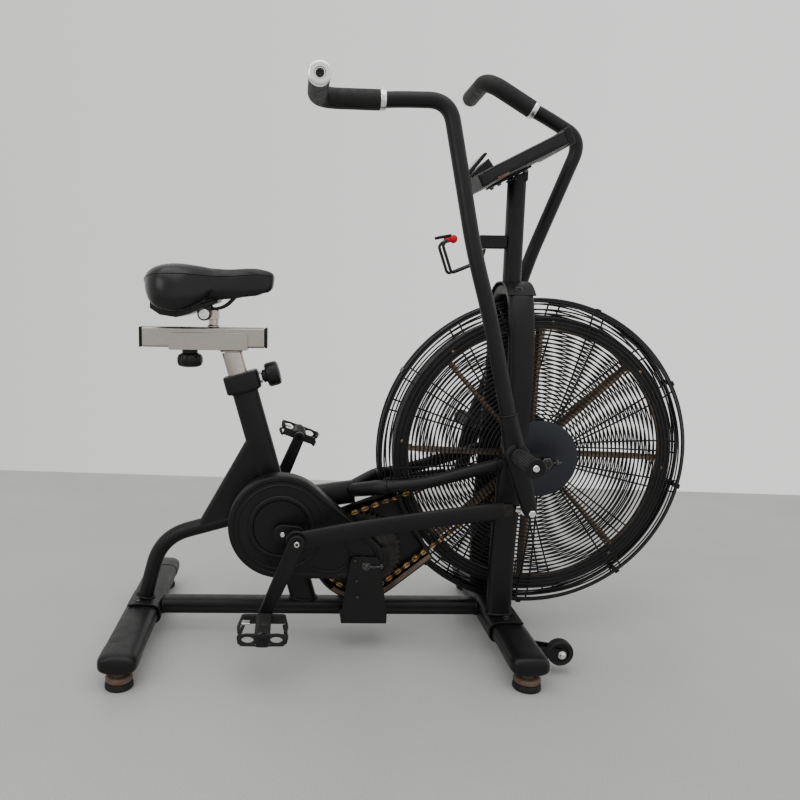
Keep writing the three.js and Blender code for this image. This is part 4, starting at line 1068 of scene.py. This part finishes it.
def pedal(side, s, tip):
    """Cage pedal: notched side walls, an end plate with two eyes and a ridged centre barrel."""
    y0, y1, half, deep = 188.5, 293.0, 53.0, 11.0
    cage = Shape()

    def wall(points, thick=4.5, z0=-deep, z1=deep):
        path = [(tip.x + x, s * y, tip.z + (z0 + z1) / 2) for x, y in points]
        cage.sweep(path, [(-thick / 2, -(z1 - z0) / 2), (thick / 2, -(z1 - z0) / 2),
                          (thick / 2, (z1 - z0) / 2), (-thick / 2, (z1 - z0) / 2)], side=(1, 0, 0))

    for way in (-1, 1):
        wall([(way * 15, y0 + 2), (way * 40, y0 + 2), (way * 45, y0 + 8), (way * (half - 2.5), 252),
              (way * 47, 280), (way * 42, y1 - 5)], 9)
        wall([(way * 9, y0 + 5), (way * 43, y0 + 6)], 9, -deep + 2, deep - 1)
        wall([(way * 9, 239), (way * 50, 239)], 15, -deep + 2, deep - 1)
        wall([(way * 9, 281), (way * 46, 281)], 10, -deep + 2, deep - 1)
        wall([(way * 11, y0 + 4), (way * 11, y1 - 8)], 9, -deep + 2, deep)
        for k in range(9):
            y = s * (y0 + 15 + 9.4 * k)
            x = tip.x + way * (half - 3.5 - abs(k - 5.5) * 1.1)
            for z in (-deep, deep):
                cage.box(x - 3.4, x + 3.4, y - 2.2, y + 2.2, tip.z + z - 2.6, tip.z + z + 2.6)
    cage.box(tip.x - 12, tip.x + 12, *sorted((s * (y0 + 4), s * (y1 - 8))), tip.z + 4, tip.z + deep + 1)
    for k in range(12):
        y = s * (y0 + 10 + 7 * k)
        cage.box(tip.x - 9, tip.x + 9, y - 1.4, y + 1.4, tip.z + deep, tip.z + deep + 2.4)
    plate_y = sorted((s * (y1 - 7), s * y1))
    outer = [(-46, -9), (-43, -12.4), (-14, -13), (-8, -15), (8, -15), (14, -13), (43, -12.4), (46, -9),
             (51, 4), (47, 11), (10, 12.5), (-10, 12.5), (-47, 11), (-51, 4)]
    parts = 24
    for way in (-1, 1):
        for k in range(parts):
            a0, a1 = 2 * math.pi * k / parts, 2 * math.pi * (k + 1) / parts
            wide = 21 * (0.95 if abs(math.sin((a0 + a1) / 2)) > 0.5 else 1)
            corners = ((a0, 12.5, 7.5), (a1, 12.5, 7.5), (a1, wide, 12.6), (a0, wide, 12.6))
            cage.prism([(tip.x + way * 29 + rx * math.cos(a), tip.z + rz * math.sin(a))
                        for a, rx, rz in corners], *plate_y)
    for p, q in zip(outer, outer[1:] + outer[:1]):
        p, q = Vector(p), Vector(q)
        way = (q - p).normalized()
        inward = Vector((-way.y, way.x)) * 2.6
        cage.prism([(tip.x + v.x, tip.z + v.y) for v in (p, q, q + inward, p + inward)], *plate_y)
    spin = Matrix.Rotation(0.34, 3, "Y") if s > 0 else Matrix.Identity(3)
    cage.turned(spin, tip).make(f"{side}_pedal_cage", PEDAL_PLASTIC, f"{side}_pedal", "plastic",
                                (f"{side}_pedal",), sharp=35, bevel=0.5)
    barrel = Shape().lathe([(0, y0 - 1), (12.5, y0 - 1), (12.5, y0 + 8), (10, y0 + 20), (10, y1 - 16),
                            (14.5, y1 - 7), (14.5, y1 + 0.6), (13, y1 + 1.4), (5, y1 + 1.4), (4, y1),
                            (0, y1)],
                           (tip.x, 0, tip.z), (0, s, 0), 36)
    barrel.turned(spin, tip).make(f"{side}_pedal_barrel", CAP_PLASTIC, f"{side}_pedal", "plastic", sharp=35)
    spindle = Shape().ring(0, 6.9, 170, y0 - 1.2, (tip.x, 0, tip.z), (0, s, 0), 24)
    spindle.make(f"{side}_pedal_spindle", GEAR_METAL, f"{side}_pedal", "steel", sharp=30)
    reflector = Shape().box(tip.x - 47, tip.x - 27, *sorted((s * 226, s * 242)), tip.z + 8, tip.z + 12.5)
    reflector.turned(spin, tip) \
        .make(f"{side}_pedal_reflector", RING_METAL, f"{side}_pedal", "plastic", bevel=1)


for side, s in SIDES:
    crank_side(side, s)


# ---- drive ---------------------------------------------------------------------------------


def sprocket(shape, centre, r, teeth, y, thick=2.0, hole=12):
    """Toothed disc: rounded teeth between the chain's rollers."""
    outer, inner = [], []
    for k in range(teeth * 8):
        t = 2 * math.pi * k / (teeth * 8)
        wave = math.cos(teeth * t)
        reach = r - 1.2 + 3.4 * (1 if wave > 0 else -1) * abs(wave) ** 0.6
        outer.append((centre.x + reach * math.cos(t), centre.z + reach * math.sin(t)))
        inner.append((centre.x + hole * math.cos(t), centre.z + hole * math.sin(t)))
    return shape.frame_plate(outer, inner, y - thick / 2, y + thick / 2)


def chain_links(name, a, ra, b, rb, y, node, pitch=12.7):
    """Roller chain: waisted gold outer plates over dark inner links, round the whole loop."""
    outline = [Vector((x, 0, z)) for x, z in belt(a, ra, b, rb, 260)]
    lengths = [0]
    for p, q in zip(outline, outline[1:] + outline[:1]):
        lengths.append(lengths[-1] + (q - p).length)
    count = int(round(lengths[-1] / pitch / 2)) * 2
    step = lengths[-1] / count

    def at(d):
        d %= lengths[-1]
        i = next(k for k in range(len(outline)) if lengths[k + 1] >= d)
        part = (d - lengths[i]) / max(1e-9, lengths[i + 1] - lengths[i])
        return outline[i].lerp(outline[(i + 1) % len(outline)], part)

    gold, dark = Shape(), Shape()
    pins = [at(k * step) for k in range(count)]
    slit_corners = ((0.24, -1.3), (0.76, -1.3), (0.76, 1.3), (0.24, 1.3))
    for k, p in enumerate(pins):
        q = pins[(k + 1) % count]
        way = (q - p).normalized()
        up = Vector((-way.z, 0, way.x))
        links, end, half, inner, outer = (dark, 4.4, 3.6, 2.2, 3.2) if k % 2 else (gold, 2.4, 5, 3.35, 4.3)
        plate = []
        for i in range(16):
            t = 2 * math.pi * i / 16
            c, s = math.cos(t), math.sin(t)
            along, over = math.copysign(abs(c) ** 0.8, c), math.copysign(abs(s) ** 0.8, s)
            plate.append((p + q) / 2 + way * (((q - p).length / 2 + end) * along) + up * (half * over))
        for sgn in (-1, 1):
            links.prism([(v.x, v.z) for v in plate], y + sgn * inner, y + sgn * outer)
            if k % 2 == 0:
                slit = [p.lerp(q, t) + up * h for t, h in slit_corners]
                dark.prism([(v.x, v.z) for v in slit], y + sgn * outer, y + sgn * (outer + 0.25))
        dark.ring(0, 1.9, -4.6, 4.6, (p.x, y, p.z), seg=8)
    gold.make(name, GOLD, "frame", "chain", (node,), sharp=40)
    dark.make(name + "_inner", LINK_DARK, "frame", "chain", sharp=40)


def cover_shell():
    """Chain cover: bevelled rim, flat face, raised rings round the crank and a ridge to the tail."""
    head, tail = Vector((-4, 0, 285)), Vector((179, 0, 214))
    low, high = low_high("crank_cover")
    y0, y1 = low.y, high.y
    head_r, tail_r, wall = 119, 50, 2.5
    steps = [(0, y1), (0, y0 + 6), (1.2, y0 + 2.4), (4, y0 + 0.4), (7, y0), (12, y0 + 0.4), (14, y0 + 1.8)]

    def edge(inset):
        return belt(head, head_r - inset, tail, tail_r - inset, 140)

    hole = []
    for x, z in edge(14):
        d = Vector((x - CRANK.x, z - CRANK.z)).normalized() * 18
        hole.append((CRANK.x + d.x, CRANK.z + d.y))
    rows = [(edge(wall), y1)] + [(edge(inset), y) for inset, y in steps]
    rows += [(hole, y0 + 1.8), (hole, y0 + 5), (edge(wall), y0 + 5)]
    Shape().skin([[(x, y, z) for x, z in loop] for loop, y in rows], closed=True) \
        .make("crank_cover_shell", COVER_PLASTIC, slot="plastic", replaces=("crank_cover",), sharp=28)
    rings = Shape()
    for r0, r1, h in ((94, 99, 1.6), (61, 75, 4.5)):
        rings.lathe([(r0, -0.8), (r0 + 1.5, h * 0.75), (r0 + 3, h), (r1 - 3, h), (r1 - 1, h * 0.7),
                     (r1, -0.8)], (head.x, y0 + 1.8, head.z), (0, -1, 0), 120)
    rings.make("cover_rings", COVER_PLASTIC, slot="plastic", sharp=50)
    Shape().lathe([(26, 0), (60.5, 0), (60.5, 0.7), (26, 0.7)], (head.x, y0 + 1.7, head.z), (0, -1, 0), 96) \
        .make("cover_recess", CAP_PLASTIC, slot="plastic", sharp=50)
    y = y0 + 1.2
    inner_ridge = bend([(48, y, 211), (72, y, 186), (119, y, 181), (148, y, 200), (153, y, 236),
                        (134, y, 262), (104, y, 268)], 16, 8)
    outer_ridge = bend([(176, y, 262), (204, y, 243), (216, y, 214), (196, y, 184)], 14, 8)
    ridges = Shape().tube(inner_ridge, 2.8, 14)
    ridges.tube(outer_ridge, 2.6, 14).make("cover_ridges", COVER_PLASTIC, slot="plastic", sharp=60)


def chain_tray():
    """Far tray behind the second chain: back sheet, upright lip all round and a dusty lower edge."""
    low, high = low_high("chain_case")
    loop = belt(JACK, 111, FAN, 40, 120)
    outer = []
    for (xa, za), (xb, zb) in zip(loop, loop[1:] + loop[:1]):
        pieces = max(1, int(math.hypot(xb - xa, zb - za) / 6))
        outer += [(xa + (xb - xa) * k / pieces, za + (zb - za) * k / pieces) for k in range(pieces)]
    end_r, arc_steps = 332, 30
    outer = [p for p in outer if math.hypot(p[0] - FAN.x, p[1] - FAN.z) > end_r]
    drop = [(x, z) for x, z in outer if z < JACK.z + (x - JACK.x) * 0.42 - 60]
    ends = [math.atan2(z - FAN.z, x - FAN.x) % (2 * math.pi) for x, z in (outer[-1], outer[0])]
    for k in range(1, arc_steps):
        t = ends[0] + (ends[1] - ends[0]) * k / arc_steps
        outer.append((FAN.x + end_r * math.cos(t), FAN.z + end_r * math.sin(t)))
    core_x, core_z = JACK.x - 8, JACK.z - 5
    liner, flange = [[(core_x + (x - core_x) * grow, core_z + (z - core_z) * grow) for x, z in outer]
                     for grow in (0.976, 1.03)]
    rows = [(liner, high.y - 2.4), (liner, low.y), (outer, low.y), (outer, high.y)]
    Shape().skin([[(x, y, z) for x, z in loop] for loop, y in rows]) \
        .make("chain_case_tray", COVER_PLASTIC, slot="plastic", replaces=("chain_case",), sharp=35)
    Shape().frame_plate(flange, liner, low.y - 1.4, low.y) \
        .make("chain_case_flange", COAT, slot="plastic", bevel=0.3)
    path = [(x * 0.985 + JACK.x * 0.015, low.y - 1.9, z + 5) for x, z in drop]
    Shape().sweep(path, [(-0.4, -5), (0.4, -5), (0.4, 5), (-0.4, 5)]) \
        .make("chain_case_dust", LIP_DUST, slot="plastic", sharp=60)


def jack_brackets():
    """Angle plate in front of the cover on the near side, a plain plate on the far side."""
    right_low, right_high = low_high("right_jackshaft_bracket")
    outline = [(134, 66), (136, 64), (236, 64), (238, 66), (238, 86), (219, 212), (213, 220), (159, 221),
               (153, 213), (134, 86)]
    face = right_low.y
    plate = Shape().prism(outline, face, face + 5)
    plate.box(134, 238, face + 1, right_high.y, 64, 69)
    plate.make("right_jackshaft_bracket_plate", COAT, replaces=("right_jackshaft_bracket",), bevel=1.2)
    left_low, left_high = low_high("left_jackshaft_bracket")
    Shape().prism([(134, 48), (136, 46), (236, 46), (238, 48), (238, 86), (208, 230), (204, 234), (156, 234),
                   (152, 230), (134, 86)], left_low.y, left_high.y) \
        .make("left_jackshaft_bracket_plate", COAT, replaces=("left_jackshaft_bracket",), bevel=1.2)
    bolts = Shape()
    bolts.bolt((188.6, face, 199.3), (0, -1, 0), 7, 5)
    bolts.bolt((206, face, 199.3), (0, -1, 0), 4, 4, washer=False)
    bolts.tube([(196, face - 2, 199.3), (226, face - 2, 199.3)], 2.4, 10)
    bolts.lathe([(2.5, 0), (6, 0), (6, 4), (2.5, 4)], (220, face - 2, 199.3), (1, 0, 0), 6)
    for x, z in ((163, 213), (167, 166), (170, 128)):
        bolts.bolt((x, face, z), (0, -1, 0), 3.4, 2.2, washer=False)
    bolts.bolt((JACK.x, left_high.y, JACK.z), (0, 1, 0), 12, 5)
    for x, z in ((168, 150), (150, 62), (222, 62)):
        bolts.bolt((x, left_high.y, z), (0, 1, 0), 5.5, 3.5)
    bolts.make("jackshaft_bracket_bolts", BOLT_DARK, sharp=30)


def drive():
    """Chainring, jackshaft with its two sprockets, both chains and what encloses them."""
    cover_shell()
    ring_gear = sprocket(Shape(), CRANK, CHAIN1["a"], 44, CHAIN1["y"])
    ring_gear.ring(0, 11.9, -110.6, 110.6, CRANK, seg=36)
    ring_gear.make("chainring_toothed", GEAR_METAL, "crank", "steel", ("crank_spindle",), sharp=35)
    low, high = low_high("jackshaft")
    second = sprocket(Shape(), JACK, CHAIN2["a"], 46, CHAIN2["y"])
    sprocket(second, JACK, CHAIN1["b"], 16, CHAIN1["y"], hole=8)
    second.ring(0, 8.9, low.y, high.y, JACK, seg=32)
    second.lathe([(9, -5), (66, -5), (69, -3.5), (69, 4.5), (9, 4.5)], (JACK.x, CHAIN2["y"], JACK.z),
                 (0, 1, 0), 80)
    for k in range(5):
        t = 2 * math.pi * k / 5 + 0.3
        second.cap_screw((JACK.x + 54 * math.cos(t), CHAIN2["y"] - 5, JACK.z + 54 * math.sin(t)), (0, -1, 0),
                         5, 2.6)
    second.make("jackshaft_toothed", GEAR_METAL, "jackshaft", "steel", ("jackshaft",), sharp=35)
    chain_links("primary_chain_links", CRANK, CHAIN1["a"], JACK, CHAIN1["b"], CHAIN1["y"], "primary_chain")
    chain_links("second_chain_links", JACK, CHAIN2["a"], FAN, CHAIN2["b"], CHAIN2["y"], "second_chain")
    chain_tray()
    jack_brackets()


drive()

# ---- fan and cage ----------------------------------------------------------------------------


def dish_y(r):
    """How far out the guard's wires lie at radius r."""
    for (r0, y0), (r1, y1) in zip(DISH, DISH[1:]):
        if r <= r1:
            return y0 + (y1 - y0) * (r - r0) / (r1 - r0)
    return DISH[-1][1]


def smooth_dish(r):
    return sum(dish_y(r + d) for d in (-14, -7, 0, 7, 14)) / 5 if r < 330 else dish_y(r)


def hoop(shape, r, y, wire, seg=120, sides=6):
    pts = [(FAN.x + r * math.cos(2 * math.pi * k / seg), y, FAN.z + r * math.sin(2 * math.pi * k / seg))
           for k in range(seg)]
    return shape.sweep(pts, section(2 * wire, 2 * wire, sides), side=(0, 1, 0), closed=True)


def polar(r, angle, y):
    return Vector((FAN.x + r * math.cos(angle), y, FAN.z + r * math.sin(angle)))


def cage(side, s):
    """Wire guard: fine rings on a dished profile, radial wires in pairs, a pressed centre disc."""
    edge = ((346, 30, 2.0), (351.5, 22, 2.2), (356, 15.5, 4.2))
    rings = Shape()
    r = CAGE_PLATE + 5
    while r < 342:
        hoop(rings, r, s * smooth_dish(r), 1.9)
        r += 9.3
    for r, y, wire in edge:
        hoop(rings, r, s * y, wire, 144, 8)
    rings.make(f"{side}_cage_rings", WIRE_COAT, replaces=(f"{side}_cage_grille",), sharp=70)
    spokes = Shape()
    for degrees in CLIP_ANGLES:
        for off in (-2.2, 2.2):
            t = math.radians(degrees + off + (0 if s < 0 else 14))
            pts = [polar(q, t, s * (smooth_dish(q) - 2.4)) for q in range(CAGE_PLATE - 6, 336, 12)]
            pts += [polar(q, t, s * (y - 2.4)) for q, y, _ in edge]
            spokes.tube(pts, 2.0, 8, side=(0, 0.01, 1) if abs(math.cos(t)) > 0.5 else (1, 0.01, 0))
    spokes.make(f"{side}_cage_spokes", WIRE_COAT, sharp=70)
    Shape().lathe([(8.4, 68), (30, 68), (36, 70.2), (CAGE_PLATE - 8, 70.4), (CAGE_PLATE - 1, 69),
                   (CAGE_PLATE, 71), (CAGE_PLATE - 4, 73.4), (36, 73.2), (30, 71), (8.4, 71)],
                  FAN, (0, s, 0), 96) \
        .make(f"{side}_cage_disc", HUB_DISC, sharp=40)


def cage_clips():
    """U clips that hold the two guards together over the outer ring."""
    clips = Shape()
    for degrees in CLIP_ANGLES:
        piece = Shape().box(357, 362, -20, 20, -5.5, 5.5)
        for y0, y1 in ((-21, -16.5), (16.5, 21)):
            piece.box(350, 362, y0, y1, -5.5, 5.5)
        piece.moved(Matrix.Rotation(-math.radians(degrees), 3, "Y"), FAN)
        clips.add(piece.verts, piece.faces)
    clips.make("cage_clips", CAP_PLASTIC, bevel=0.8)


def axle_mounts():
    """Tension plates on the arch, with the axle through them and its nuts and draw bolts."""
    nuts, axle = Shape(), Shape()
    for side, s in SIDES:
        node = f"{side}_axle_bracket"
        low, high = low_high(node)
        plate = [(503, 417), (588, 427), (598, 435), (598, 451), (588, 459), (503, 469)]
        Shape().prism(plate, low.y, high.y).make(node + "_plate", COAT, replaces=(node,), bevel=1.4)
        nuts.lathe([(8.2, 114.4), (14, 114.4), (14, 123), (12.5, 124.5), (8.2, 124.5)], FAN,
                   (0, s, 0), 6)
        middle_y = s * 111
        nuts.tube([(594, middle_y, FAN.z), (612, middle_y, FAN.z)], 3.4, 12)
        nuts.lathe([(3.5, 0), (6.5, 0), (6.5, 5), (3.5, 5)], (600, middle_y, FAN.z), (1, 0, 0), 6)
    nuts.make("fan_axle_nuts", BOLT_DARK, "frame", "bright", sharp=30)
    axle.lathe([(0, -129.5), (6.5, -129.5), (7.8, -128), (7.8, 128), (6.5, 129.5), (0, 129.5)],
               FAN, seg=28)
    axle.make("fan_axle_rod", GEAR_METAL, "frame", "bright", ("fan_axle",), sharp=30)


def fan_wheel():
    """Turned hub, eight flanged blades and a rolled rim with rivets."""
    hub = Shape().lathe([(8.6, -28), (30, -28), (33, -26), (34, -23), (34, 38), (33, 41), (22, 44), (15, 46),
                         (8.6, 46)], FAN, seg=56)
    hub.ring(8.6, 14.6, -61, -27, FAN, seg=40)
    sprocket(hub, FAN, CHAIN2["b"], 11, CHAIN2["y"], hole=14.5)
    hub.make("fan_hub_turned", GEAR_METAL, "fan", "steel", ("fan_wheel",), sharp=35)
    webs, lips, rivets = Shape(), Shape(), Shape()
    for k in range(8):
        t = -math.radians(k * 45 + 2)
        way = Vector((math.cos(t), 0, math.sin(t)))
        turn = Vector((-way.z, 0, way.x))

        def slab(shape, rows, lift0, lift1, way=way, turn=turn):
            """A thin blade panel: rows of (radius, y low, y high) with its two faces."""
            loops = []
            for r, ya, yb in rows:
                corners = ((ya, lift0), (yb, lift0), (yb, lift1), (ya, lift1))
                loops.append([FAN + way * r + turn * lift + Vector((0, y, 0)) for y, lift in corners])
            shape.skin(loops)

        slab(webs, [(30, -20, 20), (262, -19, 19), (276, -12, 12), (313, -11, 11)], -0.9, 0.9)
        for s in (-1, 1):
            slab(lips, [(60, s * 18.4, s * 19.8), (262, s * 17.6, s * 19), (274, s * 12, s * 13.2),
                        (310, s * 10.4, s * 11.6)], -0.9, 6.5)
            slab(lips, [(272, s * 23.8, s * 25.4), (315, s * 23.8, s * 25.4)], -2.4, 2.4)
            rivets.lathe([(0, 0), (4, 0), (3.2, 1.6), (1.5, 2.4), (0, 2.5)],
                         polar(306, t - math.radians(3.4), s * 26.6), (0, s, 0), 14)
    webs.make("fan_blade_webs", LIP_DUST, "fan", "blade", sharp=30)
    lips.make("fan_blade_lips", BLADE_DUST, "fan", "blade", sharp=30)
    rivets.make("fan_rim_rivets", RIVET, "fan", "blade", sharp=45)
    rim = Shape().lathe([(293, -24.6), (293, -27), (297, -28), (301, -26.8), (308, -26.8), (311, -28),
                         (316, -28), (318, -26.6), (321, -27), (321, 27), (318, 28), (314, 27.4),
                         (314, 25), (318, 24.6), (318, -24.6)], FAN, seg=144)
    rim.make("fan_rim_band", RIM_COAT, "fan", "coat", ("fan_rim",), sharp=30)
    Shape().lathe([(289.6, -22), (289.6, -26.8), (293, -27.6), (293, -22)], FAN, seg=144) \
        .make("fan_rim_lip", LIP_DUST, "fan", "blade", sharp=30)


for side, s in SIDES:
    cage(side, s)
cage_clips()
axle_mounts()
fan_wheel()

# ---- console and bottle holder -----------------------------------------------------------------


def console():
    """Sloped housing on the mast plate, with a display unit on its lower end."""
    centre = Vector((502, 0, 1092))
    tilt = Matrix.Rotation(-math.radians(27.3), 3, "Y")
    rows = [(-106, 0.9), (-103, 0.97), (-98, 1), (98, 1), (103, 0.98), (106, 0.93)]
    body = Shape().sweep([centre + tilt @ Vector((d, 0, 0)) for d, _ in rows], section(195, 33, 72, 7),
                         scale=lambda i: (1 - (1 - rows[i][1]) * 0.35, rows[i][1]))
    body.make("console_shell", CONSOLE_COAT, replaces=("console_housing",), bevel=0.4, sharp=50)
    seam_line = [centre + tilt @ Vector((x, y, -6)) for x, y in section(212.6, 195.4, 80, 9)]
    Shape().tube(seam_line, 0.9, 6, side=(0, 0, 1), closed=True) \
        .make("console_seam", CAP_PLASTIC, sharp=70)
    # Raised lips along the top and bottom edges of both sides, in a lighter metal than the housing: partly a
    # real raised rim, partly a painted highlight along the edges.
    lip = Shape()
    for y in (-97, 97):
        lip.box(-92, 96, y - 1.3, y + 1.3, 12.2, 14.6)
        lip.box(-92, 96, y - 1.0, y + 1.0, -14.4, -12.6)
    lip.moved(tilt, centre).make("console_lips_painted_highlight", BOLT_DARK, bevel=0.4)
    Shape().box(-70, -44, -98.2, -97.2, -15, -9.5).moved(tilt, centre) \
        .make("console_wear", FOOT_RUST, bevel=0.3)
    Shape().box(92, 107.5, -99, 99, -18, 18).moved(tilt, centre) \
        .make("console_end_cap", CAP_PLASTIC, bevel=2.5, steps=3)
    lean = Matrix.Rotation(-math.radians(50), 3, "Y")
    at = Vector((416, 0, 1089))
    unit = Shape().prism([(-31, -3), (26, -1), (28, 2), (24, 6), (-27, 6), (-31, 2)], -46, 46)
    unit.moved(lean, at).make("display_case", CAP_PLASTIC, slot="plastic", bevel=2.2, steps=3)
    Shape().prism([(404, 1057), (452, 1082), (438, 1101), (402, 1062)], -41, 41) \
        .make("display_bracket", CAP_PLASTIC, bevel=2)
    face = Shape().prism([(-24, 5.6), (20, 5.6), (20, 6.6), (-24, 6.6)], -38, 38)
    face.moved(lean, at).make("display_window", SCREEN, slot="plastic", bevel=0.3)
    keys = Shape()
    for y in (-30, -10, 10, 30):
        keys.prism([(-30, 5.8), (-25.6, 5.8), (-25.6, 7), (-30, 7)], y - 6, y + 6)
    keys.moved(lean, at).make("display_keys", GRIP_RUBBER, slot="plastic", bevel=0.4)
    Shape().prism([(455, 1043.5), (533, 1083.7), (533, 1088.7), (455, 1048.5)], -40, 40) \
        .make("mast_top_plate", COAT, bevel=1.0)
    screws = Shape()
    for x in (466, 522):
        for y in (-30, 30):
            screws.bolt((x, y, 1043.5 + (x - 455) * 40.2 / 78), (0.46, 0, -0.89), 4.5, 3.5)
    screws.make("mast_plate_screws", BOLT_DARK, sharp=30)


def bottle_holder():
    """Bent wire cradle under the square arm, with a red stopper and its dark strap."""
    side = [(446, 11, 909), (440, 12, 886), (425, 22, 876.5), (371, 22, 854), (349, 22, 916), (358, 22, 926)]
    route = [(x, -y, z) for x, y, z in side] + side[::-1]
    Shape().tube(bend(route, 9, 6), 3.4, 12, side=(0.1, 1, 0.1)) \
        .make("bottle_wire", WIRE_COAT, "frame", "steel", ("bottle_holder",), sharp=60)
    ball = []
    for k in range(13):
        t = -math.pi / 2 + math.pi * k / 12
        ball.append((9.5 * math.cos(t) if 0 < k < 12 else 0, 9 * math.sin(t)))
    red = Shape().lathe(ball, (377, 0, 931), seg=32)
    red.lathe([(0, 0), (5.5, 0), (6, 2), (6, 13), (5, 15), (0, 15)], (356, 0, 926.4), (0.97, 0, 0.22), 24)
    red.make("bottle_red_cap", RED, "frame", "red", ("bottle_holder_cap",), sharp=70)
    Shape().tube([(335, 0, 931.5), (346, 0, 934), (372, 0, 939)], 3.6, 12) \
        .make("bottle_strap", GRIP_RUBBER, "frame", "red", bevel=0.6)


console()
bottle_holder()
